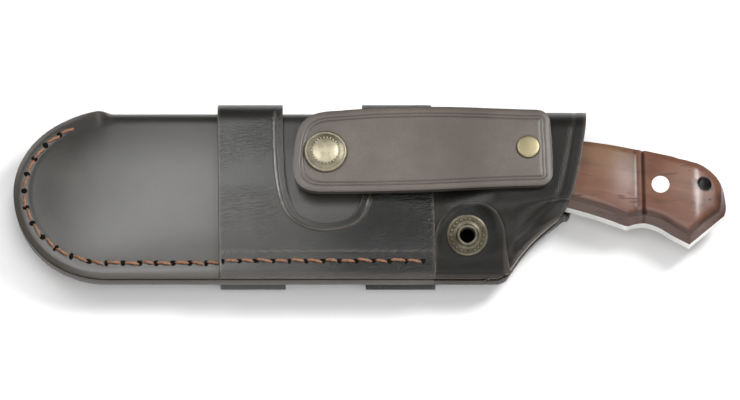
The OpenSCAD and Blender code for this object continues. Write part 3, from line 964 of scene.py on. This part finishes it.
class ThreadMaker(bpy.types.Operator):
    """Builds the stitches, and dark ovals of painted shade at their punched holes on both faces."""

    bl_idname = "belt_knife.thread"
    bl_label = "Thread"

    def execute(self, context):
        sizes = context.scene.knife_sheath
        colours = context.scene.knife_colours
        shape = SheathShape(sizes)
        points = seam_points(sizes, shape)
        wrap_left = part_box("outer_wrap")[0].x
        loops = [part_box("rear_loop_toe"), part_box("rear_loop_throat")]
        front = MID_Z + sizes.seam_half
        back = MID_Z - sizes.seam_half
        proud = 0.05 * MM
        thread = bmesh.new()
        holes = bmesh.new()
        for i, (a, b) in enumerate(zip(points, points[1:])):
            on_wrap = a.x > wrap_left and b.x > wrap_left
            if on_wrap or b.x < wrap_left - 0.3 * MM or a.x < wrap_left - 2 * MM:
                level = front + (sizes.wrap_leather if on_wrap else 0)
                self.stitch(thread, a, b, level, 1, sizes.thread / 2, i)
            on_loop = any(low.x < a.x and b.x < high.x for low, high in loops)
            if on_loop or not any(low.x < q.x < high.x for q in (a, b) for low, high in loops):
                level = back - (sizes.wrap_leather if on_loop else 0)
                self.stitch(thread, a, b, level, -1, sizes.thread / 2, i)
        for i, p in enumerate(points):
            ahead = points[min(i + 1, len(points) - 1)] - points[max(i - 1, 0)]
            turn = math.atan2(ahead.y, ahead.x) + 0.15 * math.sin(i * 2.7)
            lift = sizes.wrap_leather if p.x > wrap_left else 0
            self.hole(holes, p, front + lift + proud, turn)
            if not any(low.x - 1 * MM < p.x < high.x + 1 * MM for low, high in loops):
                self.hole(holes, p, back - proud, turn)
        waxed = thread_finish("waxed_thread", colours.thread)
        thread_piece = finish_mesh(thread, "seam_stitches", waxed, "sheath")
        store(thread_piece, [0.0] * len(thread_piece.data.vertices))
        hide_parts("seam_thread")
        dark = leather_finish("hole_shadow", shade(colours.edge, 0.1), 0.8, shine=0.05)
        finish_mesh(holes, "stitch_hole_shade", dark, "sheath")
        return {"FINISHED"}

    @staticmethod
    def stitch(bm, a, b, level, side, radius, number):
        """One twisted stitch from hole to hole, its ends pulled down into the leather."""
        along = b - a
        across = Vector((-along.y, along.x)).normalized()
        slant = (0.34 + 0.2 * math.sin(number * 1.9)) * MM
        drift = across * 0.16 * MM * math.sin(number * 3.3)
        start = a + across * slant + along * (0.1 + 0.07 * math.sin(number * 4.1)) + drift
        end = b - across * slant - along * (0.1 + 0.07 * math.sin(number * 2.3)) + drift
        path = []
        for k in range(13):
            t = k / 12
            arch = math.sin(math.pi * t) ** 0.55
            flat = start.lerp(end, t)
            path.append(Vector((flat.x, flat.y, level + side * mix(-0.5 * MM, 0.42 * MM, arch))))

        def twisted(t, angle):
            return (1 + 0.2 * math.cos(2 * angle - 15 * t)) * (0.72 + 0.28 * math.sin(math.pi * t) ** 0.5)

        tube(bm, path, radius, 8, twisted)

    @staticmethod
    def hole(bm, p, level, turn):
        """A small dark oval of painted shade where the thread goes down."""
        made = bmesh.ops.create_circle(bm, cap_ends=True, segments=14, radius=1.0)["verts"]
        ragged = math.sin(p.x * 4100) * math.cos(p.x * 1700)
        bmesh.ops.scale(bm, verts=made, vec=((0.95 + 0.4 * ragged) * MM, (1.15 - 0.3 * ragged) * MM, 1))
        bmesh.ops.rotate(bm, verts=made, cent=(0, 0, 0), matrix=Matrix.Rotation(turn, 3, "Z"))
        bmesh.ops.translate(bm, verts=made, vec=(p.x, p.y, level))
        if level < MID_Z:
            bmesh.ops.reverse_faces(bm, faces=list({f for v in made for f in v.link_faces}))


# ---- Strap ----

class StrapShape:
    """The strap's plan and side view."""

    blunt = 3.3
    short = 0.9 * MM
    inner_crease = 3.4 * MM

    def __init__(self, sizes):
        self.sizes = sizes
        low, high = STRAP_BOX
        self.left = low.x + self.short
        self.right = STRAP_FIXED_BOX[1].x
        self.middle = (low.y + high.y) / 2
        self.half = (high.y - low.y) / 2
        self.cap_x = self.left + self.half
        self.low_top = low.z + sizes.thick
        self.seat_top = STRAP_FIXED_BOX[1].z
        self.hinge = high.x

    def top(self, x):
        """Height of the strap's top at x."""
        return mix(self.low_top, self.seat_top, smooth(CAP_BOX[1].x + 1 * MM, self.hinge - 4 * MM, x))

    def wide(self, x):
        """Half width at x: a little fuller in the middle than at the square end."""
        full = self.half + self.sizes.belly * smooth(self.cap_x - 6 * MM, 4 * MM, x)
        return full - (self.sizes.belly + self.sizes.taper) * smooth(14 * MM, self.right, x)

    def centre(self, x):
        """Y of the middle line at x: the round end hangs slightly lower."""
        return self.middle - self.sizes.sag * smooth(6 * MM, self.left, x)

    def lean(self, x, y):
        """How far the round end leans: its upper corner lies further from the toe."""
        return (0.5 * MM + 0.085 * y) * smooth(14 * MM, -16 * MM, x)

    def end_x(self, y):
        """X of the square end at a distance across the strap."""
        half = self.wide(self.right)
        over = abs(y) - (half - self.sizes.corner)
        bow = 0.7 * MM * (1 - (y / half) ** 2) - 0.03 * y
        radius = self.sizes.corner
        corner = radius - math.sqrt(max(0.0, radius ** 2 - over ** 2)) if over > 0 else 0.0
        return self.right - 0.7 * MM + bow - corner

    def blunt_reach(self, x, y):
        """Distance from the middle of the round end, measured so that its blunt outline is a circle."""
        return (abs(x) ** self.blunt + abs(y) ** self.blunt) ** (1 / self.blunt)

    def inset(self, x, y):
        """Distance from the strap's outline, y from the middle line."""
        if x < self.cap_x:
            return self.half - self.blunt_reach(x - self.cap_x, y)
        corner = self.sizes.corner
        from_end = self.right - 0.3 * MM - 0.03 * y - x
        from_side = self.wide(x) - abs(y)
        if from_end < corner and from_side < corner:
            return corner - math.hypot(corner - from_end, corner - from_side)
        return min(from_end, from_side)


class StrapMaker(bpy.types.Operator):
    """Builds the carrying strap with its two creases as one piece."""

    bl_idname = "belt_knife.strap"
    bl_label = "Strap"

    def execute(self, context):
        sizes = context.scene.knife_strap
        colours = context.scene.knife_colours
        shape = StrapShape(sizes)
        fine = [0, 0.3, 0.7, 1.2, 1.7, 2.05, 2.3, 2.55, 2.85, 3.15, 3.4, 3.65, 4.0, 4.7, 5.8, 7.2, 8.8]
        cap_columns, rows = mirrored(fine + [10.6, 12.6], shape.half)
        end_insets = fine[:-3]
        creases = (sizes.crease, shape.inner_crease)
        straight = [("share", t) for t in spread(0, 1, 0.022)[1:]]
        ends = [("end", d * MM) for d in reversed(end_insets)]

        def place(column, v):
            if not isinstance(column, tuple):
                across, along = concentric(column, v)
                fuller = math.hypot(across, along) / max(1e-9, shape.blunt_reach(across, along))
                x, y = shape.cap_x + shape.half * across * fuller, shape.half * along * fuller
            else:
                kind, value = column
                end = shape.end_x(shape.wide(shape.right) * v)
                last = end_insets[-1] * MM
                x = end - value if kind == "end" else mix(shape.cap_x, end - last, value)
                y = shape.wide(x) * v
            inset = shape.inset(x, y)
            x += shape.lean(x, y)
            press = sum(groove(inset, line, 0.4 * MM, 0.2 * MM) for line in creases)
            border = -0.3 * MM * (1 - smooth(0, 2.1 * MM, inset))
            return Vector((x, shape.centre(x) + y, shape.top(x) + press + border))

        bm = bmesh.new()
        grid_sheet(bm, cap_columns + straight + ends[1:], rows, place)
        face_up(bm)
        material = leather_finish("strap_leather", colours.strap, 0.45, edge=shade(colours.strap, 0.3))

        def edge_of(p):
            y = p.y - shape.centre(p.x)
            inset = shape.inset(p.x - shape.lean(p.x, y), y)
            # Painted shade in the two creases; the band along the outline is the burnished edge.
            lines = sum(groove(inset, line, 0.45 * MM, 1.0) for line in creases)
            return min(1.0, max(-0.8 * lines, 0.7 * (1 - smooth(0.1 * MM, 1.0 * MM, inset))))

        piece = leather_sheet("strap_leather_piece", bm, sizes.thick - 0.05 * MM, 0.55 * MM, material, None,
                              edge_of)
        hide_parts("strap_free_end", "strap_fixed_end")
        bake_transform(piece)
        return {"FINISHED"}


# ---- Tab ----

TAB_STUD_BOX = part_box("tab_stud")
TAB_STUD_Y = -17.9 * MM
TAB_STUD_TILT = math.radians(18)


class TabMaker(bpy.types.Operator):
    """Builds the rounded leather tab that carries the open stud."""

    bl_idname = "belt_knife.tab"
    bl_label = "Stud tab"

    thick: length("Thickness", "Thickness of the tab's leather", 2.2 * MM)
    tilt: FloatProperty(name="Tilt", description="Lean of the stud towards the sewn edge",
                        default=TAB_STUD_TILT, subtype="ANGLE")

    radius = 12.2 * MM

    def execute(self, context):
        shape = SheathShape(context.scene.knife_sheath)
        colours = context.scene.knife_colours
        stud = (TAB_STUD_BOX[0] + TAB_STUD_BOX[1]) / 2
        stud_top = MID_Z + 6.35 * MM + self.thick
        middle = Vector((stud.x + 0.9 * MM, TAB_STUD_Y - 1.0 * MM))
        radius = self.radius
        low_y = EDGE_Y + 1.0 * MM
        cap_columns, rows = mirrored([0, 0.4, 0.9, 1.5, 2.1, 2.8, 3.6, 4.6, 5.8, 7.2, 8.8, 10.4], radius)
        columns = cap_columns + [("down", t) for t in spread(0, 1, 0.08)[1:]]
        tangent = math.tan(self.tilt)

        def place(column, v):
            if not isinstance(column, tuple):
                across, along = concentric(column, v)
                x, y = middle.x + radius * along, middle.y - radius * across
            else:
                share = column[1]
                x = middle.x + radius * v + 1.6 * MM * max(0.0, v) * share
                y = mix(middle.y, low_y, share)
            reach = math.hypot(x - stud.x, y - TAB_STUD_Y)
            plane = stud_top + (y - TAB_STUD_Y) * tangent
            lying = shape.front(x, y) + self.thick
            level = mix(plane, lying, smooth(7.4 * MM, 11.4 * MM, reach))
            return Vector((x, y, max(level, lying - 0.8 * MM)))

        bm = bmesh.new()
        grid_sheet(bm, columns, rows, place)
        face_up(bm)
        # Painted shade: the tab's base is a much darker copy of the sheath leather, for the shade on the
        # throat side.
        material = leather_finish("tab_leather", shade(colours.body, 0.17), 0.4, edge=colours.edge,
                                  shine=0.25)

        def edge_of(p):
            reach = math.hypot(p.x - middle.x, max(0.0, p.y - middle.y))
            return 0.8 * (1 - smooth(0.2 * MM, 1.2 * MM, radius - reach))

        piece = leather_sheet("stud_tab_leather", bm, self.thick, 0.5 * MM, material, "sheath",
                              edge_of)
        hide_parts("stud_tab")
        for leather in (piece, bpy.data.objects["sheath_body_leather"]):
            drill(leather, [(stud.x, TAB_STUD_Y, 2.6 * MM)], 12 * MM, MID_Z + 7 * MM, self.tilt)
        return {"FINISHED"}


# ---- Handle ----

# Each hole is (x, y, radius), each pin (x, y). The edge steps are insets in mm.
LANYARD = (115 * MM, 1.2 * MM, 2.5 * MM)
PINS = ((99.9 * MM, 0.8 * MM), (52 * MM, 8 * MM))
PIN_RADIUS = 3.1 * MM
EDGE_STEPS = [0, 0.3, 0.75, 1.2, 1.55, 1.8, 2.1, 2.5, 3.1, 3.9]


class HandleShape:
    """The handle's plan: its lower edge with the swell, its butt, and its upper edge."""

    butt_x = 98 * MM

    def __init__(self):
        start, butt = HANDLE_BOX[0].x, HANDLE_BOX[1].x
        low_tip, corner, high_tip = (109.7, -19.1), (122.1, -8.6), (114.5, 8.9)
        lower = [Vector((start, -13 * MM))]
        lower += self.bend([(31, -7.5), (41, -3.6), (54, -3), (66.9, -5.4), (79, -9), (87.6, -12.3)])
        swell = self.bend([(88.8, -12.5), (91.5, -11.7), (95, -11.5), (99.3, -13), (104.2, -16.1), low_tip])
        end = self.bend([low_tip, corner])[:-1]
        end += self.bend([corner, (butt / MM, -5), (121.4, 2.4), (118, 6.7), high_tip])
        upper = [Vector((start, 21 * MM))]
        upper += self.bend([(54, 19.8), (74, 17.8), (91.5, 15), (96.8, 14), high_tip])
        self.lower = lower + swell
        self.upper = upper
        self.end = Path(end)
        self.outline = self.lower + end[1:] + upper[::-1][1:]
        self.start = start
        self.tips = (self.lower[-1].x, self.upper[-1].x)

    @staticmethod
    def bend(points):
        """A curve through points in millimetres."""
        return curve([(x * MM, y * MM) for x, y in points], 7)

    @staticmethod
    def at_x(points, x):
        """The point of an edge at x."""
        for a, b in zip(points, points[1:]):
            if x <= b.x:
                return a.lerp(b, max(0.0, (x - a.x) / max(1e-9, b.x - a.x)))
        return points[-1]

    def place(self, column, row):
        """A point in plan at a share along the handle and (kind, value) across it."""
        x = mix(self.start, self.tips[0], column)
        beyond = max(0.0, (x - self.butt_x) / (self.tips[0] - self.butt_x))
        low = self.at_x(self.lower, x)
        high = self.at_x(self.upper, x + (self.tips[1] - self.tips[0]) * beyond)
        kind, value = row
        width = (high - low).length
        edge = EDGE_STEPS[-1] * MM / width
        if kind == "low":
            t = value / width
        elif kind == "high":
            t = 1 - value / width
        else:
            t = mix(edge, 1 - edge, value)
        bulge = self.end.share(t) - self.end.points[0].lerp(self.end.points[-1], t)
        return low.lerp(high, t) + bulge * smooth(0, 2, 2 * beyond) ** 0.8

    def inset(self, p):
        """Distance of a place from the outline."""
        closed = zip(self.outline, self.outline[1:] + self.outline[:1])
        return min(segment_distance(p, a, b) for a, b in closed)


class HandleMaker(bpy.types.Operator):
    """Builds the two wooden scales."""

    bl_idname = "belt_knife.handle"
    bl_label = "Handle scales"

    groove_x: length("Groove", "X of the groove across the handle", 93.0 * MM)
    wall: length("Wall", "Inset of the scale's face from the tang along the belly", 2.0 * MM)
    spine: length("Spine wall", "Inset of the scale's face from the tang along the spine", 0.5 * MM)
    ridge_x: length("Ridge", "X of the ridge where the butt's facet starts", 112.4 * MM)

    facet_slope = 0.38

    @staticmethod
    def across(x, y):
        """How far a place lies off the sloping middle line: about -1 at the belly, 1 at the spine."""
        middle = 5 * MM - 0.155 * (x - 75 * MM)
        return (y - middle) / (14 * MM)

    def height(self, x, y, inset, top):
        """Height of the scale's face over the tang."""
        front = smooth(HANDLE_BOX[0].x - 1 * MM, 47 * MM, x)
        full = mix(0.6 * MM, top, front)
        across = self.across(x, y)
        reach = self.reach(across)
        wall = min(1.0, inset / reach)
        crown = smooth(0, 2.4 * MM, inset - reach * 0.8)
        dip = 1.15 * MM * across * across
        dip += 0.7 * MM * math.exp(-((x - self.groove_x) / (7 * MM)) ** 2)
        dip += 0.55 * MM * smooth(84 * MM, 62 * MM, x)
        dip += self.facet_slope * max(0.0, x - self.ridge_x)
        level = full * (0.9 * wall + 0.1 * crown) - dip * wall * front
        return max(0.3 * MM * wall, level + self.bead(x, inset) * front)

    def reach(self, across):
        """Inset of the scale's face: wide along the belly, narrow along the spine."""
        return mix(self.wall, self.spine, smooth(-0.35, 0.45, across))

    def bead(self, x, inset):
        """The groove with the raised bead along its middle."""
        off = x - self.groove_x
        sides = groove(off, -1.15 * MM, 0.6 * MM, 0.15 * MM) + groove(off, 1.05 * MM, 0.75 * MM, 0.95 * MM)
        return sides * min(1.0, inset / (0.7 * MM))

    def columns(self, shape):
        """Shares along the handle, closer together round the groove and at the butt."""
        offs = (-1.95, -1.6, -1.15, -0.7, -0.4, 0, 0.3, 0.65, 1.05, 1.45, 1.8)
        near = [self.groove_x + off * MM for off in offs]
        near += [self.ridge_x - 0.12 * MM, self.ridge_x + 0.12 * MM]
        ends = [shape.tips[0] - 0.55 * d * MM for d in EDGE_STEPS]
        places = [x for x in spread(shape.start, shape.tips[0], 0.62 * MM)
                  if abs(x - self.groove_x) > 2.2 * MM and x < ends[-1] - 0.3 * MM]
        return [(x - shape.start) / (shape.tips[0] - shape.start) for x in sorted(places + near + ends)]

    def execute(self, context):
        colours = context.scene.knife_colours
        shape = HandleShape()
        rows = [("low", d * MM) for d in EDGE_STEPS]
        rows += [("middle", t) for t in spread(0, 1, 0.045)[1:-1]]
        rows += [("high", d * MM) for d in reversed(EDGE_STEPS)]
        tang = (BLADE_BOX[1].z - BLADE_BOX[0].z) / 2
        top = (HANDLE_BOX[1].z - MID_Z) - tang
        material = wood_finish("handle_wood", colours.wood)
        for node, side in (("front_scale", 1), ("back_scale", -1)):
            bm = bmesh.new()
            made = grid_sheet(bm, self.columns(shape), rows, lambda c, r: shape.place(c, r).to_3d())
            insets = {vert: shape.inset(vert.co.xy) for vert in made}
            below = bmesh.ops.duplicate(bm, geom=bm.verts[:] + bm.edges[:] + bm.faces[:])["geom"]
            bmesh.ops.reverse_faces(bm, faces=[g for g in below if isinstance(g, bmesh.types.BMFace)])
            for vert, inset in insets.items():
                vert.co.z = self.height(vert.co.x, vert.co.y, inset, top) if inset > 1e-6 else 0.0
            bmesh.ops.remove_doubles(bm, verts=bm.verts[:], dist=1e-6)
            bmesh.ops.scale(bm, verts=bm.verts[:], vec=(1, 1, side))
            bmesh.ops.translate(bm, verts=bm.verts[:], vec=(0, 0, MID_Z + side * tang))
            bmesh.ops.recalc_face_normals(bm, faces=bm.faces[:])
            piece = finish_mesh(bm, node + "_wood", material, "knife")
            drill(piece, [LANYARD] + [(x, y, PIN_RADIUS) for x, y in PINS])
            self.darken(piece, shape)
            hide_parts(node)
        self.pins(shape, tang, top)
        return {"FINISHED"}

    def pins(self, shape, tang, top):
        """The polished pins, domed a little proud of both scales."""
        bm = bmesh.new()
        soft = 0.1 * MM
        for x, y in PINS:
            reach = tang + self.height(x, y, shape.inset(Vector((x, y))), top)
            dome = [(PIN_RADIUS, reach - soft), (PIN_RADIUS - soft, reach + 0.02 * MM),
                    (PIN_RADIUS * 0.6, reach + 0.14 * MM), (0, reach + 0.18 * MM)]
            one = bmesh.new()
            lathe(one, [(r, -z) for r, z in reversed(dome)] + dome, (x, y, MID_Z), 48)
            mesh = made_mesh(one, "pin")
            bm.from_mesh(mesh)
            bpy.data.meshes.remove(mesh)
        # Painted highlight: the pins get a near-white, mostly non-metallic colour that stands for their
        # bright reflection.
        pin = metal_finish("pin_steel", (0.95, 0.95, 0.94), 0.42, (0.9, 0.9, 0.88), patina_share=0.2,
                           metal=0.35)
        piece = finish_mesh(bm, "handle_pins_steel", pin, "knife")
        store(piece, [0.0] * len(piece.data.vertices))
        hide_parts("handle_pins")

    def darken(self, piece, shape):
        """Paints shade on the walls, a dark shade band inside them, the groove and the lanyard hole."""
        values = []
        for vert in piece.data.vertices:
            x, y = vert.co.xy
            inset = shape.inset(vert.co.xy)
            reach = self.reach(self.across(x, y))
            # Painted shade: the walls, the band inside them, the groove's line and the black lanyard bore
            # are shade, not the wood's colour.
            wall = 0.62 * (1 - smooth(reach * 0.75, reach * 1.2, inset))
            shade_band = 0.95 * math.exp(-((inset - reach * 1.15) / (0.95 * MM)) ** 2)
            wall = max(wall, shade_band * smooth(self.spine * 1.5, self.wall, reach))
            bore = 1.0 if math.hypot(x - LANYARD[0], y - LANYARD[1]) < LANYARD[2] * 1.02 else 0.0
            line = 0.8 * math.exp(-((x - self.groove_x + 1.6 * MM) / (0.4 * MM)) ** 2)
            values.append(max(bore, min(0.95, max(line, wall - self.bead(x, inset) / MM))))
        store(piece, values)


def drill(piece, holes, depth=60 * MM, level=None, tilt=0.0):
    """Cuts round holes through a piece, along Z or leaning towards the sewn edge."""
    bm = bmesh.new()
    for x, y, radius in holes:
        made = bmesh.ops.create_cone(bm, cap_ends=True, segments=48, radius1=radius, radius2=radius,
                                     depth=depth)["verts"]
        bmesh.ops.rotate(bm, verts=made, cent=(0, 0, 0), matrix=Matrix.Rotation(tilt, 3, "X"))
        bmesh.ops.translate(bm, verts=made, vec=(x, y, MID_Z if level is None else level))
    mesh = made_mesh(bm, "drill")
    cutter = added("drill", mesh)
    modifier(piece, "BOOLEAN", "Drilled hole", operation="DIFFERENCE", object=cutter, solver="EXACT")
    bpy.context.view_layer.update()
    apply_modifiers(piece)
    bpy.data.objects.remove(cutter)
    bpy.data.meshes.remove(mesh)
    shade_smooth(piece.data)
    piece.data.set_sharp_from_angle(angle=math.radians(50))


# ---- Metal ----

class HardwareMaker(bpy.types.Operator):
    """Builds the press-stud cap, the rivet cap and the open stud, and finishes the plain metal pieces."""

    bl_idname = "belt_knife.hardware"
    bl_label = "Hardware"

    stud_dots = 22
    stud_height = 8.55 * MM
    lip_height = 1.12 * MM

    def execute(self, context):
        colours = context.scene.knife_colours
        strap = context.scene.knife_strap
        antique = metal_finish("antique_brass", colours.brass, 0.34, shade(colours.brass, 0.35))
        dull = metal_finish("dull_brass", shade(colours.brass, 0.42), 0.36, shade(colours.brass, 0.15))
        rivet = metal_finish("rivet_brass", colours.rivet, 0.38, shade(colours.rivet, 0.7),
                             patina_share=0.4)
        steel = metal_finish("blade_steel", colours.steel, 0.28, shade(colours.steel, 0.85), brushed=0.8,
                             patina_share=0.3, bore=LANYARD)
        spring = metal_finish("spring_steel", (0.6, 0.6, 0.58), 0.25)
        for node, material in (("blade", steel), ("strap_stud", antique), ("strap_stud_post", antique),
                               ("tab_stud_post", dull), ("snap_socket", antique), ("snap_spring", spring),
                               ("rivet_post", rivet)):
            repaint(node, material)
        self.snap_cap(antique, strap.dots)
        self.rivet_cap(rivet)
        self.tab_stud(dull, self.stud_dots)
        return {"FINISHED"}

    def snap_cap(self, material, dots):
        """A domed cap with a ring of raised dots."""
        low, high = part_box("snap_cap")
        centre = (low + high) / 2
        radius = (high.x - low.x) / 2
        level = STRAP_BOX[0].z + (STRAP_FIXED_BOX[1].z - STRAP_FIXED_BOX[0].z)
        top = high.z - level
        dome = radius - 1.3 * MM

        def dome_height(reach):
            return self.lip_height + (top - self.lip_height) * (1 - (reach / dome) ** 2.2)

        profile = [(0, 0), (radius - 0.7 * MM, 0), (radius - 0.15 * MM, 0.12 * MM), (radius, 0.45 * MM),
                   (radius - 0.1 * MM, 0.8 * MM), (radius - 0.5 * MM, 1.05 * MM),
                   (radius - 0.9 * MM, 1.1 * MM), (radius - 1.1 * MM, 1.0 * MM), (dome, self.lip_height)]
        profile += [(dome * (1 - k / 12), dome_height(dome * (1 - k / 12))) for k in range(1, 13)]
        bm = bmesh.new()
        lathe(bm, profile)
        ring = radius - 2.75 * MM
        height = dome_height(ring)
        self.dot_ring(bm, dots, ring, height, 0.42 * MM)
        bmesh.ops.translate(bm, verts=bm.verts[:], vec=(centre.x, centre.y, level))
        piece = finish_mesh(bm, "snap_cap_brass", material, "strap")
        values = []
        for vert in piece.data.vertices:
            reach = math.hypot(vert.co.x - centre.x, vert.co.y - centre.y)
            lip = groove(reach, radius - 1.1 * MM, 0.3 * MM, 1.0)
            band = groove(reach, ring, 1.35 * MM, 0.8) if vert.co.z - level < height + 0.16 * MM else 0.0
            rim = 0.5 * smooth(radius - 2.6 * MM, radius - 1.9 * MM, reach)
            values.append(min(1.0, max(rim, -lip * 0.9 - band)))
        store(piece, values)
        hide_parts("snap_cap")

    @staticmethod
    def dot_ring(bm, count, ring, height, size):
        """A ring of small raised dots."""
        for k in range(count):
            angle = 2 * math.pi * k / count
            made = bmesh.ops.create_uvsphere(bm, u_segments=10, v_segments=6, radius=size)["verts"]
            bmesh.ops.scale(bm, verts=made, vec=(1, 1, 0.62))
            bmesh.ops.translate(bm, verts=made,
                                vec=(ring * math.cos(angle), ring * math.sin(angle), height))

    @staticmethod
    def rivet_cap(material):
        """A flat rivet cap with a softly broken edge."""
        low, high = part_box("rivet_cap")
        centre = (low + high) / 2
        radius = (high.x - low.x) / 2
        top = high.z - low.z
        bm = bmesh.new()
        profile = [(0, 0), (radius - 0.3 * MM, 0), (radius, 0.25 * MM), (radius - 0.04 * MM, 0.5 * MM),
                   (radius - 0.22 * MM, 0.78 * MM), (radius - 0.55 * MM, 0.93 * MM),
                   (radius - 1.2 * MM, 0.99 * MM), (radius * 0.4, top), (0, top)]
        lathe(bm, profile, steps=56)
        bmesh.ops.translate(bm, verts=bm.verts[:], vec=(centre.x, centre.y, low.z))
        piece = finish_mesh(bm, "rivet_cap_brass", material, "sheath")
        reaches = [(v.co.xy - centre.xy).length for v in piece.data.vertices]
        store(piece, [0.7 * smooth(radius - 0.35 * MM, radius, reach) for reach in reaches])
        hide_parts("rivet_cap")

    def tab_stud(self, material, dots):
        """An open stud: a flange with a ring of dots round a raised lip and a hole."""
        low, high = TAB_STUD_BOX
        radius = (high.x - low.x) / 2
        hole = 2.5 * MM
        bm = bmesh.new()
        lip = ((0, -4.2), (0, 1.35), (0.2, 1.7), (0.6, 1.85), (1.0, 1.7), (1.25, 1.25), (1.5, 0.95))
        flange = ((2.2, 0.8), (1.0, 0.62), (0.4, 0.5), (0.1, 0.3), (0, 0.1), (0.1, 0))
        profile = [(hole + out * MM, z * MM) for out, z in lip]
        profile += [(radius - inwards * MM, z * MM) for inwards, z in flange]
        lathe(bm, profile)
        ring = (radius + hole + 1.5 * MM) / 2
        self.dot_ring(bm, dots, ring, 0.82 * MM, 0.5 * MM)
        flat = [v.co.copy() for v in bm.verts]
        bmesh.ops.rotate(bm, verts=bm.verts[:], cent=(0, 0, 0),
                         matrix=Matrix.Rotation(TAB_STUD_TILT, 3, "X"))
        bmesh.ops.translate(bm, verts=bm.verts[:],
                            vec=((low.x + high.x) / 2, TAB_STUD_Y, MID_Z + self.stud_height))
        piece = finish_mesh(bm, "tab_stud_brass", material, "sheath")
        values = []
        for p in flat:
            reach = math.hypot(p.x, p.y)
            band = groove(reach, ring, 1.5 * MM, 0.85) if p.z < 0.98 * MM else 0.0
            # Painted shade: the hole's inner wall darkens with depth.
            deep = smooth(1.2 * MM, -0.6 * MM, p.z) if reach < hole + 0.05 * MM else 0.0
            values.append(min(1.0, max(-band, deep)))
        store(piece, values)
        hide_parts("tab_stud")


# ---- Stage ----

class StageMaker(bpy.types.Operator):
    """Lays the pale floor and sets the lights and the camera."""

    bl_idname = "belt_knife.stage"
    bl_label = "Stage"

    elevation: FloatProperty(name="Elevation", description="Camera height over the horizon",
                             default=math.radians(70), subtype="ANGLE")
    frame_width: length("Frame width", "Width of the view at the object", 255.2 * MM)

    # Name, place, width and depth in metres, and power in watts.
    lamps = (
        ("near", (-0.09, 0.055, 0.22), 0.15, 0.07, 0.22),
        ("right", (0.35, 0.20, 0.50), 0.18, 0.25, 3.0),
        ("back_left", (-0.60, 0.70, 0.50), 0.5, 0.4, 2.2),
        ("front", (0.0, -0.70, 0.50), 0.6, 0.4, 3.0),
        ("front_right", (0.60, -0.50, 0.50), 0.5, 0.4, 1.6),
        ("top", (0.0, -0.15, 0.80), 0.4, 0.3, 1.13),
    )
    sky_strength = 0.1
    target = Vector((0.15 * MM, -2.0 * MM, MID_Z))

    def execute(self, context):
        bm = bmesh.new()
        bmesh.ops.create_grid(bm, x_segments=1, y_segments=1, size=3.0)
        mesh = made_mesh(bm, "floor")
        floor = added("floor", mesh)
        pale = Finish("pale_floor")
        mesh.materials.append(pale.surface(Base_Color=(0.93, 0.93, 0.93), Roughness=0.9))
        for lamp in self.lamps:
            self.light(*lamp)
        world = bpy.data.worlds.new("studio")
        world.use_nodes = True
        sky = world.node_tree.nodes["Background"].inputs
        sky["Color"].default_value = (1, 1, 1, 1)
        sky["Strength"].default_value = self.sky_strength
        context.scene.world = world
        context.scene.view_settings.view_transform = "Standard"
        self.camera(context)
        return {"FINISHED"}

    @staticmethod
    def light(name, place, width, depth, power):
        """A soft rectangular lamp that looks at the object."""
        lamp = bpy.data.lights.new(name, "AREA")
        lamp.shape = "RECTANGLE"
        lamp.size = width
        lamp.size_y = depth
        lamp.energy = power
        holder = added(name, lamp)
        holder.location = place
        holder.rotation_euler = (-Vector(place)).to_track_quat("-Z", "Y").to_euler()

    def camera(self, context):
        """A long lens at the viewing angle."""
        camera = bpy.data.cameras.new("camera")
        camera.lens = 200
        camera.clip_start = 0.05
        holder = added("camera", camera)
        distance = self.frame_width / 2 / math.tan(camera.angle / 2)
        away = Vector((0, -math.cos(self.elevation), math.sin(self.elevation)))
        holder.location = self.target + away * distance
        holder.rotation_euler = (-away).to_track_quat("-Z", "Y").to_euler()
        context.scene.camera = holder


class KnifePanel(bpy.types.Panel):
    """Lists the makers in the sidebar."""

    bl_idname = "VIEW3D_PT_belt_knife"
    bl_label = "Belt knife"
    bl_space_type = "VIEW_3D"
    bl_region_type = "UI"
    bl_category = "Belt knife"

    def draw(self, context):
        column = self.layout.column()
        for maker in MAKERS:
            column.operator(maker.bl_idname)


MAKERS = (StageMaker, SheathBodyMaker, WrapMaker, ThreadMaker, StrapMaker, TabMaker, HandleMaker,
          HardwareMaker)
GROUPS = {"knife_sheath": SheathSizes, "knife_strap": StrapSizes, "knife_colours": Colours}


def register():
    """Registers the classes and the settings on the scene."""
    for group in GROUPS.values():
        bpy.utils.register_class(group)
    for maker in MAKERS + (KnifePanel,):
        bpy.utils.register_class(maker)
    for name, group in GROUPS.items():
        setattr(bpy.types.Scene, name, PointerProperty(type=group))


def unregister():
    """Removes the settings and the classes."""
    for name in GROUPS:
        delattr(bpy.types.Scene, name)
    for maker in MAKERS + (KnifePanel,):
        bpy.utils.unregister_class(maker)
    for group in GROUPS.values():
        bpy.utils.unregister_class(group)


def main():
    """Builds everything."""
    register()
    for maker in MAKERS:
        group, name = maker.bl_idname.split(".")
        getattr(getattr(bpy.ops, group), name)()
    bpy.context.view_layer.update()


if __name__ == "__main__":
    main()
